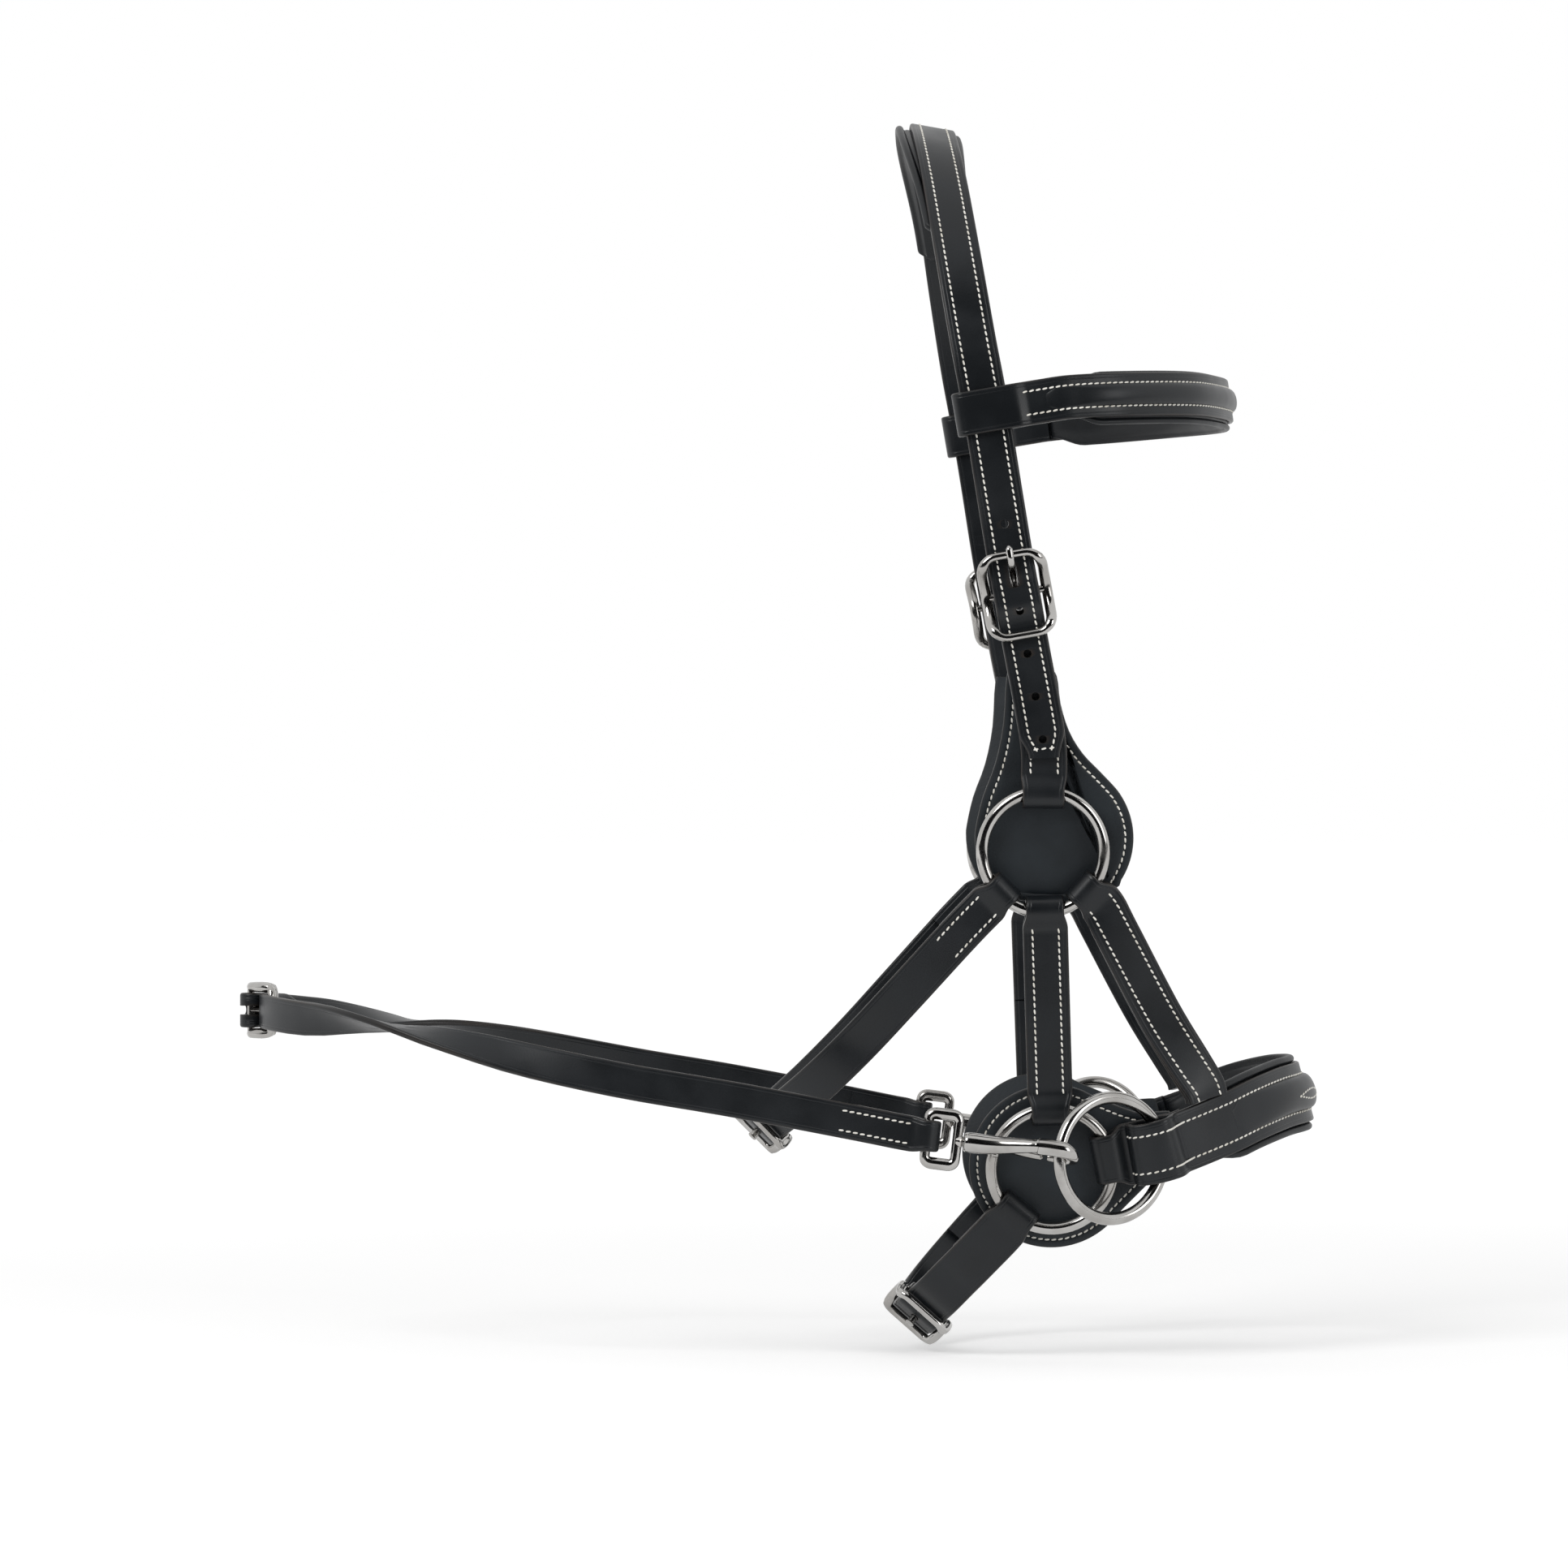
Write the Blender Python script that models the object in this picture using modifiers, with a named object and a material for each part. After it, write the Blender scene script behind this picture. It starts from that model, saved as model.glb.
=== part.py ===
"""Sidepull bridle with reins: padded headpiece and browband, two cheek buckles,
round side rings on leather safes, padded noseband, jaw and chin straps with stud
buckles, and snap hooks that hold the reins on a turning pair of rings.

Metres, +Z up, +X towards the nose. The near side lies at -Y and the far side
mirrors it. The origin is the underside of the poll pad, where the bridle hangs.
Every strap is a flat blank laid on a route: s runs along the route, n stands out
from it, away from the head, and a runs across it.
"""

import math

import bmesh
import bpy
from mathutils import Matrix, Vector

MM = 0.001

# Leather
LEATHER = 2.6 * MM
BILLET_LEATHER = 3.0 * MM
SAFE_LEATHER = 3.0 * MM
SEAM = 0.3 * MM
CLEARANCE = 0.3 * MM
LOOP_PLAY = 0.45 * MM
FOLD_REACH = 8.0 * MM
SHORT_FOLD_REACH = 7.0 * MM
FOLD_SPREAD = 7.0 * MM
JOIN_GAP = 0.6 * MM
LAY_STEP = 7.0 * MM
LEAD_OUT = 9.0 * MM

# Round rings
RING_OUTER_RADIUS = 29.1 * MM
RING_WIRE_RADIUS = 2.75 * MM
RING_RADIUS = RING_OUTER_RADIUS - RING_WIRE_RADIUS

# Where the rings and buckles lie on the head
UPPER_RING_FORWARD = 46.7 * MM
UPPER_RING_HALF_SPAN = 90.0 * MM
UPPER_RING_DROP = 312.4 * MM
RING_SPACING = 139.2 * MM
RING_LEAD = 4.4 * MM
LOWER_RING_HALF_SPAN = 74.0 * MM
CHEEK_RISE = 112.5 * MM
CHEEK_LEAN = 11.9 * MM
CHEEK_LINE_SHARES = ((0.0, 0.40), (-0.30, 0.60), (-0.66, 0.80), (-1.0, 1.0), (-1.30, 1.17))
CHEEK_BUCKLE_MARK = 4

# The arch over the poll
ARCH_HALF_WIDTH = 107.5 * MM
ARCH_DROP = 129.7 * MM
ARCH_LEAN = 21.5 * MM
ARCH_TILT_DEGREES = 10.0
POLL_PAD_THICKNESS = 6.0 * MM
ARCH_SHARES = (
    (1.0, 1.0, 1.0),
    (0.972, 0.765, 0.74),
    (0.837, 0.462, 0.44),
    (0.614, 0.225, 0.22),
    (0.335, 0.064, 0.06),
)

# Headpiece and cheekpieces
CHEEK_WIDTH = 20.0 * MM
CHEEK_FOLD_WIDTH = 18.0 * MM
BILLET_TIP_WIDTH = 13.4 * MM
BILLET_TIP_LENGTH = 12.0 * MM
BILLET_BELOW_BUCKLE = 72.0 * MM
BILLET_HUMP_SHARES = (
    (-0.72, 0.0), (-0.5, 0.35), (-0.27, 1.04), (0.0, 1.08), (0.27, 1.04), (0.5, 0.35), (0.72, 0.0),
)
BILLET_SETTLE = 40.0 * MM
HOLE_RADIUS = 1.7 * MM
HOLE_INDEXES = (-1, 1, 2, 3, 4)
HOLE_SPACING = 18.9 * MM
USED_HOLE_RISE = 11.8 * MM
POLL_PAD_WIDTH = 29.0 * MM
POLL_PAD_SHIFT = 1.5 * MM
POLL_PAD_LENGTH = 204.0 * MM
POLL_PAD_END_WIDTH = 21.0 * MM

# Wire buckles with a centre bar
BUCKLE_WIRE = 1.8 * MM
BUCKLE_BAR = 1.6 * MM
BUCKLE_CORNER = 7.0 * MM
CHEEK_BUCKLE_WIDTH = 30.0 * MM
CHEEK_BUCKLE_HEIGHT = 38.6 * MM
BUCKLE_SLOT_PLAY = 0.5 * MM
SLOT_REACH = 7.5 * MM
SLOT_DEPTH = 12.0 * MM
TONGUE_WIRE = 1.4 * MM
TONGUE_HOLE_START = 3.4 * MM
TONGUE_HOLE_STOP = 14.2 * MM
TONGUE_OVERHANG = 3.8 * MM
TONGUE_EYE_DEGREES = range(-30, -300, -30)
TONGUE_SHANK_SHARES = ((0.23, 0.27), (0.42, 0.30), (0.61, 0.50), (0.76, 0.84), (0.90, 1.0), (1.0, 1.02))

# Stud buckles of the jaw and chin straps and of the reins
STUD_RADIUS = 1.7 * MM
STUD_STANDS = 4.2 * MM
STUD_BUCKLE_SIDE = 4.4 * MM
STUD_BUCKLE_LENGTH = 27.0 * MM
STUD_BUCKLE_CORNER = 5.0 * MM

# Straps of each side
SIDE_STRAP_WIDTH = 19.6 * MM
SIDE_FOLD_WIDTH = 16.4 * MM
FRONT_STRAP_WIDTH = 19.6 * MM
FRONT_FOLD_WIDTH = 14.6 * MM
FRONT_LOOP_DEGREES = -42.5
FRONT_LEAD = 5.0 * MM
FRONT_APPROACH_SHARE = 0.70
FRONT_KNEE_FORWARD = 32.6 * MM
FRONT_KNEE_DROP = 36.5 * MM
FRONT_MID_FORWARD = 51.0 * MM
FRONT_MID_DROP = 72.0 * MM
FRONT_MID_SINK = 3.0 * MM
FRONT_TURN_SHARES = (0.0, 0.0, 0.12, 0.3, 0.6, 0.92, 1.0)
FRONT_STRAP_GAP = 0.9 * MM

# Jaw strap
JAW_WIDTH = 18.0 * MM
JAW_FOLD_WIDTH = 14.0 * MM
JAW_LOOP_DEGREES = -136.0
JAW_BACK = 120.0 * MM
JAW_DROP = 120.0 * MM
JAW_BOW = 20.0 * MM
JAW_SHARES = ((0.124, 0.955), (0.374, 0.89), (0.60, 0.79), (0.787, 0.63), (0.925, 0.39), (0.985, 0.18))
JAW_TURN_BACK = 28.0 * MM
JAW_BUCKLE_FROM_CENTRE = 14.0 * MM

# Chin strap
CHIN_WIDTH = 21.0 * MM
CHIN_FOLD_WIDTH = 18.0 * MM
CHIN_LOOP_DEGREES = -129.0
CHIN_BACK = 59.0 * MM
CHIN_DROP = 67.0 * MM
CHIN_SHARES = ((0.20, 0.91), (0.487, 0.79), (0.727, 0.61), (0.904, 0.35), (0.98, 0.16))
CHIN_TURN_BACK = 30.0 * MM
CHIN_BUCKLE_FROM_CENTRE = 30.0 * MM

# Buckled straps
TAIL_LENGTH = 32.0 * MM
TAIL_TIP_SHARE = 0.62
BUCKLED_TURN_BACK = 24.0 * MM

# Noseband
NOSE_WIDTH = 27.0 * MM
NOSE_FOLD_WIDTH = 21.0 * MM
NOSE_REACH = 113.0 * MM
NOSE_RISE = 30.8 * MM
NOSE_LOOP_DEGREES = 11.0
NOSE_SHARES = (
    (0.4214, 0.2915, 1.050),
    (0.654, 0.602, 0.890),
    (0.791, 0.809, 0.690),
    (0.906, 0.944, 0.420),
    (0.976, 0.990, 0.200),
)
POCKET_HALF_LENGTH = 5.2 * MM
POCKET_SLOPE = 7.0 * MM
POCKET_HALF_OPENING = 5.0 * MM
POCKET_BEHIND = 2.6 * MM
POCKET_LIMB_SINK = 1.7 * MM
NOSE_INNER_END = 13.5 * MM
NOSE_PAD_RISE = 17.2 * MM
NOSE_PAD_FALL = 17.2 * MM
NOSE_PAD_THICKNESS = 6.0 * MM
NOSE_ROLL_WIDTH = 15.0 * MM
NOSE_ROLL_THICKNESS = 4.3 * MM
NOSE_ROLL_HALF_LENGTH = 74.0 * MM
FRONT_STRAP_MEETS_SHARE = 0.485
POCKET_MARK = 2

# Browband
BROW_WIDTH = 19.0 * MM
BROW_REACH = 96.5 * MM
BROW_RISE = 6.5 * MM
BROW_LEAN_DEGREES = 8.0
BROW_FROM_LOOP = 12.4 * MM
BROW_LEAD_OUT = 12.0 * MM
BROW_SHARES = ((0.26, 0.60, 0.988), (0.52, 0.84, 0.893), (0.80, 1.04, 0.640), (0.955, 1.03, 0.300))
BROW_LOOP_PLAY = 0.7 * MM
BROW_LOOP_SLACK = 1.4 * MM
BROW_SLIDE = 6.0 * MM
BROW_PAD_WIDTH = 22.0 * MM
BROW_PAD_THICKNESS = 4.0 * MM
BROW_ROLL_WIDTH = 9.5 * MM
BROW_ROLL_THICKNESS = 2.6 * MM
BROW_PAD_FROM_LOOP = 16.0 * MM
BROW_TURN_BACK = 22.0 * MM

# Leather safes behind the rings
SAFE_RADIUS = 34.5 * MM
SAFE_SEAT = 6.1 * MM
SAFE_SHIFT = 5.0 * MM
CHEEK_SAFE_NECK_SHARES = (
    (0.71, 1.00), (0.50, 1.22), (0.33, 1.50), (0.22, 1.85), (0.17, 2.20), (0.06, 2.26),
    (-0.36, 2.26), (-0.46, 2.20), (-0.50, 1.60), (-0.60, 1.10), (-0.76, 0.66),
)
CHEEK_SAFE_FOOT_SHARES = ((-0.30, -0.64), (0.40, -0.66))
CHEEK_SAFE_FRONT_DEGREES = range(-40, 41, 8)
CHEEK_SAFE_BACK_DEGREES = range(172, 221, 8)
LOWER_SAFE_RADIUS = 36.0 * MM
LOWER_SAFE_DEGREES = range(60, 325, 8)
LOWER_SAFE_TONGUE_SHARES = (
    (1.30, -0.10), (1.46, -0.05), (1.50, 0.20), (1.46, 0.63), (1.30, 0.67), (1.00, 0.67),
)

# Rein rings and snap hooks
REIN_RING_TURN_DEGREES = 29.5
REIN_RING_DROP = 4.0 * MM
HOOK_CLIMB_DEGREES = 5.4
HOOK_ROLL_DEGREES = 22.0
HOOK_LENGTH = 58.0 * MM
HOOK_RISE_SHARE = 0.125
HOOK_SPREAD_SHARE = -0.02
HOOK_TUBE = 2.9 * MM
HOOK_BEAK_TUBE = 2.2 * MM
HOOK_BARREL = 4.8 * MM
HOOK_NECK = 42.0 * MM
HOOK_BEAK_REACH = 5.4 * MM
HOOK_SPINE_SHARES = ((1.0, 0.0, 0.62), (0.955, 0.0, 0.95), (0.74, 0.0, 1.0), (0.56, 0.25, 0.88),
                     (0.40, 0.62, 0.70), (0.20, 0.96, 0.604))
GATE_PIVOT_SHARE = 0.66
GATE_PIVOT_DROP = 1.6 * MM
GATE_DEPTH = 4.0 * MM
GATE_THICKNESS = 3.0 * MM
GATE_EYE_RADIUS = 2.7 * MM
GATE_EYE_TURN_DEGREES = 99.0
GATE_SLOT_PLAY = 0.35 * MM
GATE_SLOT_REACH = 5.0 * MM
GATE_SLOT_FRONT = 10.0 * MM
RIVET_RADIUS = 1.2 * MM
EYE_LENGTH = 17.6 * MM
EYE_WIDTH = 26.0 * MM
EYE_WIRE = 2.2 * MM
EYE_CORNER = 3.0 * MM
EYE_SHANK = 1.8 * MM
EYE_SHANK_DEPTH = 8.0 * MM

# Reins
REIN_WIDTH = 15.4 * MM
REIN_LEATHER = 3.0 * MM
REIN_TURN_BACK = 32.0 * MM
REIN_EYE_RISE = 0.8 * MM
REIN_FOLD_WIDTH = 13.4 * MM
REIN_ROUTE = (
    Vector((-38.0, -100.5, -428.8)) * MM,
    Vector((-88.0, -101.0, -419.3)) * MM,
    Vector((-133.0, -100.5, -411.8)) * MM,
    Vector((-175.0, -97.0, -404.0)) * MM,
    Vector((-215.0, -89.0, -396.5)) * MM,
    Vector((-250.0, -75.0, -391.2)) * MM,
    Vector((-280.0, -50.0, -387.0)) * MM,
    Vector((-297.0, -25.0, -384.4)) * MM,
    Vector((-303.0, 0.0, -383.6)) * MM,
)
REIN_ROLL_DEGREES = (0.0, 0.0, 4.0, 22.0, 62.0, 116.0, 168.0, 180.0, 180.0)

# Fineness of the facets
CORNER_STEPS = 4
BUCKLE_SIDE_STEPS = 6
SETTLE_STEPS = 6
POCKET_STEPS = 12
BEAK_STEPS = 12
GATE_EYE_STEPS = 8
PAD_RINGS = 6
PAD_END_SHARE = 0.45
RING_SIDES = 32
WIRE_SIDES = 8
FOLD_STEPS = 8
REACH_STEPS = 3
ROUTE_STEPS = 8
HOLE_SIDES = 10
PAD_SECTION_SHARES = (
    (-1.0, 0.30), (-0.86, 0.0), (0.86, 0.0), (1.0, 0.30), (0.96, 0.70), (0.78, 0.93),
    (0.40, 1.0), (-0.40, 1.0), (-0.78, 0.93), (-0.96, 0.70),
)
OVERRUN = 6.0 * MM
PUNCH_LENGTH = 24.0 * MM
WELD = 0.001 * MM

BLACK_LEATHER = ("black_leather", (0.012, 0.012, 0.014), 0.42, 0.0)
LINING_LEATHER = ("padded_lining", (0.016, 0.016, 0.018), 0.55, 0.0)
STEEL = ("polished_steel", (0.62, 0.62, 0.60), 0.16, 1.0)

SETTLE_SHARES = tuple(i / SETTLE_STEPS for i in range(1, SETTLE_STEPS + 1))

X = Vector((1, 0, 0))
Y = Vector((0, 1, 0))
Z = Vector((0, 0, 1))


# Scene and materials

def clear_scene():
    for old in list(bpy.data.objects):
        bpy.data.objects.remove(old, do_unlink=True)


def new_collection(name, hidden=False):
    found = bpy.data.collections.new(name)
    bpy.context.scene.collection.children.link(found)
    found.hide_render = hidden
    return found


def paint(obj, finish):
    """Gives the object its own Principled material."""
    name, colour, roughness, metallic = finish
    material = bpy.data.materials.new(f"{obj.name}_{name}")
    material.use_nodes = True
    shader = material.node_tree.nodes["Principled BSDF"]
    shader.inputs["Base Color"].default_value = (*colour, 1)
    shader.inputs["Roughness"].default_value = roughness
    shader.inputs["Metallic"].default_value = metallic
    material.diffuse_color = (*colour, 1)
    obj.data.materials.clear()
    obj.data.materials.append(material)


def new_object(name, mesh, collection):
    obj = bpy.data.objects.new(name, mesh)
    collection.objects.link(obj)
    return obj


def bake(obj):
    """Turns an object with modifiers, or a curve, into a plain closed mesh of the same name."""
    bpy.context.view_layer.update()
    graph = bpy.context.evaluated_depsgraph_get()
    mesh = bpy.data.meshes.new_from_object(obj.evaluated_get(graph))
    work = bmesh.new()
    work.from_mesh(mesh)
    work.transform(obj.matrix_world)
    bmesh.ops.remove_doubles(work, verts=work.verts, dist=WELD)
    bmesh.ops.recalc_face_normals(work, faces=work.faces)
    work.to_mesh(mesh)
    work.free()
    name = obj.name
    collection = obj.users_collection[0]
    bpy.data.objects.remove(obj)
    return new_object(name, mesh, collection)


def boolean(obj, other, operation):
    """Cuts the other object from this one, or joins it to this one, and removes the other."""
    step = obj.modifiers.new(operation.lower(), "BOOLEAN")
    step.operation = operation
    step.object = other
    done = bake(obj)
    bpy.data.objects.remove(other)
    return done


def set_pivot(obj, point):
    """Moves the object's origin to a point of its joint's axis, and leaves its shape in place."""
    obj.data.transform(Matrix.Translation(-point))
    obj.location = point


# Routes

def smooth(points, steps=ROUTE_STEPS):
    """A smooth curve through the points, steps pieces from each to the next."""
    ends = [2 * points[0] - points[1], *points, 2 * points[-1] - points[-2]]
    line = []
    for i in range(1, len(ends) - 2):
        before, start, stop, after = ends[i - 1:i + 3]
        for j in range(steps):
            t = j / steps
            line.append((start * 2 + (stop - before) * t
                         + (before * 2 - start * 5 + stop * 4 - after) * t * t
                         + (start * 3 - before - stop * 3 + after) * t * t * t) / 2)
    return line + [points[-1]]


class Route:
    """A line that leather is laid on, with the direction across the strap at each of its points."""

    def __init__(self, points, across):
        self.points = smooth(points)
        self.across = smooth(across)
        self.reach = [0.0]
        for here, there in zip(self.points, self.points[1:]):
            self.reach.append(self.reach[-1] + (there - here).length)
        self.length = self.reach[-1]
        self.marks = self.reach[::ROUTE_STEPS]

    def tangent(self, index):
        low = max(index - 1, 0)
        high = min(index + 1, len(self.points) - 1)
        return (self.points[high] - self.points[low]).normalized()

    def at(self, s):
        """The point at distance s, and the directions along, across and out there."""
        last = len(self.reach) - 2
        index = 0
        while index < last and self.reach[index + 1] <= s:
            index += 1
        share = (s - self.reach[index]) / (self.reach[index + 1] - self.reach[index])
        point = self.points[index].lerp(self.points[index + 1], share)
        share = min(max(share, 0), 1)
        along = self.tangent(index).lerp(self.tangent(index + 1), share).normalized()
        across = self.across[index].lerp(self.across[index + 1], share)
        across = (across - along * across.dot(along)).normalized()
        return point, along, across, along.cross(across)

    def place(self, s, n=0, a=0):
        """The point at distance s along the route, n out from it and a across it."""
        point, _, across, out = self.at(s)
        return point + out * n + across * a


def turned(a, b, degrees):
    """The unit vector at an angle from direction a towards direction b."""
    angle = math.radians(degrees)
    return a * math.cos(angle) + b * math.sin(angle)


def opposite(point):
    return Vector((point.x, -point.y, point.z))


def both_sides(points):
    """A near half of a route, to its middle point, made whole with its mirrored far half."""
    return [*points, *[opposite(point) for point in reversed(points[:-1])]]


def both_across(across):
    """The across directions of a near half, made whole: the far half keeps the same sense."""
    return [*across, *[opposite(way) for way in reversed(across[:-1])]]


# Profiles: lists of (s, n) that a strap follows, seen on its edge

def ease(share):
    return 0.5 - 0.5 * math.cos(math.pi * share)


def layer_offset(leather=LEATHER):
    return (leather + SEAM) / 2


def sagitta(half_width):
    """How far the ring's wire falls back between the middle and the edge of a loop."""
    lean = math.cos(math.asin(half_width / RING_RADIUS))
    return RING_RADIUS * (1 - lean) + RING_WIRE_RADIUS * (1 / lean - 1)


def fold(wire, wire_radius, back, toward, reach=FOLD_REACH, leather=LEATHER, play=LOOP_PLAY):
    """Half of a doubled strap's turn round a wire at s = wire, from its inner layer to its outer.
    toward is the sense of s in which the strap goes on, and back is the eye's extra length."""
    bend = wire_radius + play + leather / 2
    closed = layer_offset(leather)
    lead = [(wire + toward * reach * (1 - i / REACH_STEPS),
             closed + (bend - closed) * ease(i / REACH_STEPS)) for i in range(REACH_STEPS + 1)]
    turn = []
    for i in range(FOLD_STEPS + 1):
        angle = math.pi * i / FOLD_STEPS
        turn.append((wire - toward * (back + bend * math.sin(angle)), -bend * math.cos(angle)))
    if back < WELD:
        turn = turn[1:-1]
    inner = [(s, -n) for s, n in lead]
    return [*inner, *turn, *reversed(lead)]


def run(start, stop, n):
    """Evenly spaced points between two distances, without the first, at a steady offset."""
    count = max(1, math.ceil(abs(stop - start) / LAY_STEP))
    return [(start + (stop - start) * i / count, n) for i in range(1, count + 1)]


def belt(start_fold, end_fold, leather=LEATHER):
    """A doubled strap folded at both ends, whose own two ends meet in the middle of its back."""
    outer = layer_offset(leather)
    start = start_fold[0][0]
    stop = end_fold[0][0]
    middle = (start + stop) / 2
    return [
        (middle - JOIN_GAP / 2, -outer), *run(middle - JOIN_GAP / 2, start, -outer)[:-1], *start_fold,
        *run(start, stop, outer)[:-1], *reversed(end_fold),
        *run(stop, middle + JOIN_GAP / 2, -outer),
    ]


def tapered(full, ends):
    """Half widths along a strap: full, and less within a fold or at a tip.
    ends lists (place, sense in which the strap widens, half width there, length of the taper)."""
    def half_width(s):
        found = full
        for place, toward, narrow, spread in ends:
            share = min(max((s - place) * toward / spread, 0), 1)
            found = min(found, narrow + (full - narrow) * share)
        return found
    return half_width


# Solids

def strap(name, route, profile, half_width, leather=LEATHER, finish=BLACK_LEATHER):
    """A flat blank laid on a route along a profile, and given its thickness."""
    work = bmesh.new()
    last = len(profile) - 1
    bmesh.ops.create_grid(work, x_segments=last, y_segments=1, size=1)
    for vertex in work.verts:
        s, n = profile[round((vertex.co.x + 1) / 2 * last)]
        vertex.co = route.place(s, n, math.copysign(half_width(s), vertex.co.y))
    mesh = bpy.data.meshes.new(name)
    work.to_mesh(mesh)
    work.free()
    obj = new_object(name, mesh, PARTS)
    solid = obj.modifiers.new("thickness", "SOLIDIFY")
    solid.thickness = leather
    solid.offset = 0
    solid.use_even_offset = True
    obj = bake(obj)
    paint(obj, finish)
    return obj


def pad(name, route, start, stop, half_width, thickness, base, rise=0, crown=1, finish=LINING_LEATHER):
    """A padded strip with a crowned section and rounded ends, on a route from start to stop.
    base is the offset of its flat side, crown the side that bulges, and rise shifts it across."""
    sides = len(PAD_SECTION_SHARES)
    rings = max(PAD_RINGS, math.ceil((stop - start) / LAY_STEP))
    work = bmesh.new()
    bmesh.ops.create_cone(work, cap_ends=True, segments=sides, radius1=1, radius2=1, depth=1)
    upright = [edge for edge in work.edges if abs(edge.verts[0].co.z - edge.verts[1].co.z) > 0.5]
    bmesh.ops.subdivide_edges(work, edges=upright, cuts=rings - 1)
    first = min(math.atan2(v.co.y, v.co.x) % math.tau for v in work.verts)
    for vertex in work.verts:
        side = round((math.atan2(vertex.co.y, vertex.co.x) % math.tau - first) / math.tau * sides) % sides
        share = vertex.co.z + 0.5
        s = start + (stop - start) * share
        across, out = PAD_SECTION_SHARES[side]
        inside = math.sqrt(max(min(s - start, stop - s), 0) / thickness)
        swell = min(1, PAD_END_SHARE + (1 - PAD_END_SHARE) * inside)
        vertex.co = route.place(s, base + crown * out * thickness * swell,
                                rise + across * half_width(s) * swell)
    mesh = bpy.data.meshes.new(name)
    work.to_mesh(mesh)
    work.free()
    obj = bake(new_object(name, mesh, PARTS))
    paint(obj, finish)
    return obj


def tube(name, points, radii, cyclic=False, collection=None, sides=2):
    """A round wire through the points. radii is one radius, or one for each point."""
    curve = bpy.data.curves.new(name, "CURVE")
    curve.dimensions = "3D"
    curve.bevel_depth = 1
    curve.bevel_resolution = sides
    curve.use_fill_caps = not cyclic
    line = curve.splines.new("POLY")
    line.points.add(len(points) - 1)
    line.use_cyclic_u = cyclic
    for i, point in enumerate(points):
        line.points[i].co = (*point, 1)
        line.points[i].radius = radii if isinstance(radii, float) else radii[i]
    return bake(new_object(name, curve, collection or PARTS))


def plate(name, outline, thickness, frame):
    """A flat outline given a thickness. The frame's columns are its two ways, its normal and its place."""
    curve = bpy.data.curves.new(name, "CURVE")
    curve.dimensions = "2D"
    curve.fill_mode = "BOTH"
    curve.extrude = thickness / 2
    line = curve.splines.new("POLY")
    line.points.add(len(outline) - 1)
    line.use_cyclic_u = True
    for i, (x, y) in enumerate(outline):
        line.points[i].co = (x, y, 0, 1)
    obj = new_object(name, curve, PARTS)
    obj.matrix_world = frame
    return bake(obj)


def frame_of(place, x, y, normal):
    found = Matrix.Identity(4)
    for column, way in enumerate((x, y, normal, place)):
        for row in range(3):
            found[row][column] = way[row]
    return found


def ring(name, centre, normal):
    bpy.ops.mesh.primitive_torus_add(
        major_radius=RING_RADIUS, minor_radius=RING_WIRE_RADIUS,
        major_segments=RING_SIDES, minor_segments=WIRE_SIDES,
        location=centre, rotation=normal.to_track_quat("Z", "X").to_euler())
    obj = bpy.context.object
    obj.name = name
    for old in list(obj.users_collection):
        old.objects.unlink(obj)
    PARTS.objects.link(obj)
    obj = bake(obj)
    set_pivot(obj, centre)
    paint(obj, STEEL)
    return obj


def punch(name, centre, axis, radius, length):
    """A round cutter through a point, or a pin there."""
    bpy.ops.mesh.primitive_cylinder_add(
        vertices=HOLE_SIDES, radius=radius, depth=length, location=centre,
        rotation=axis.to_track_quat("Z", "X").to_euler())
    obj = bpy.context.object
    obj.name = name
    for old in list(obj.users_collection):
        old.objects.unlink(obj)
    CUTTERS.objects.link(obj)
    obj.display_type = "WIRE"
    return obj


def block(name, low, high, frame):
    """A box cutter between two corners, in a frame."""
    work = bmesh.new()
    bmesh.ops.create_cube(work, size=1)
    size = Vector(high) - Vector(low)
    middle = (Vector(high) + Vector(low)) / 2
    work.transform(frame @ Matrix.Translation(middle) @ Matrix.Diagonal((*size, 1)))
    mesh = bpy.data.meshes.new(name)
    work.to_mesh(mesh)
    work.free()
    obj = new_object(name, mesh, CUTTERS)
    obj.display_type = "WIRE"
    return obj


def far_copy(obj):
    """The far side's piece: the near one mirrored, as an object of its own."""
    mesh = obj.data.copy()
    work = bmesh.new()
    work.from_mesh(mesh)
    work.transform(Matrix.Scale(-1, 4, Y))
    bmesh.ops.reverse_faces(work, faces=work.faces)
    work.to_mesh(mesh)
    work.free()
    copy = new_object(obj.name.replace("near_", "far_"), mesh, PARTS)
    copy.location = opposite(obj.location)
    mesh.materials[0] = mesh.materials[0].copy()
    return copy


def slot_in(obj, route, place, half_width, start=-SLOT_REACH, stop=SLOT_REACH):
    """Cuts the slot that a tongue or a stud stands in through the leather, from start to stop along it."""
    point, along, across, out = route.at(place)
    frame = frame_of(point, along, across, out)
    cutter = block("slot", (start, -half_width, -SLOT_DEPTH), (stop, half_width, SLOT_DEPTH), frame)
    return boolean(obj, cutter, "DIFFERENCE")


def corner_line(half_length, half_width, corner):
    """The centre line of a rectangle with round corners, as (along, across) pairs."""
    line = []
    for quarter in range(4):
        sign_s = (1, -1, -1, 1)[quarter]
        sign_a = (1, 1, -1, -1)[quarter]
        for i in range(CORNER_STEPS + 1):
            angle = math.pi / 2 * (quarter + i / CORNER_STEPS)
            line.append((sign_s * (half_length - corner) + corner * math.cos(angle),
                         sign_a * (half_width - corner) + corner * math.sin(angle)))
    return line


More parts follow.
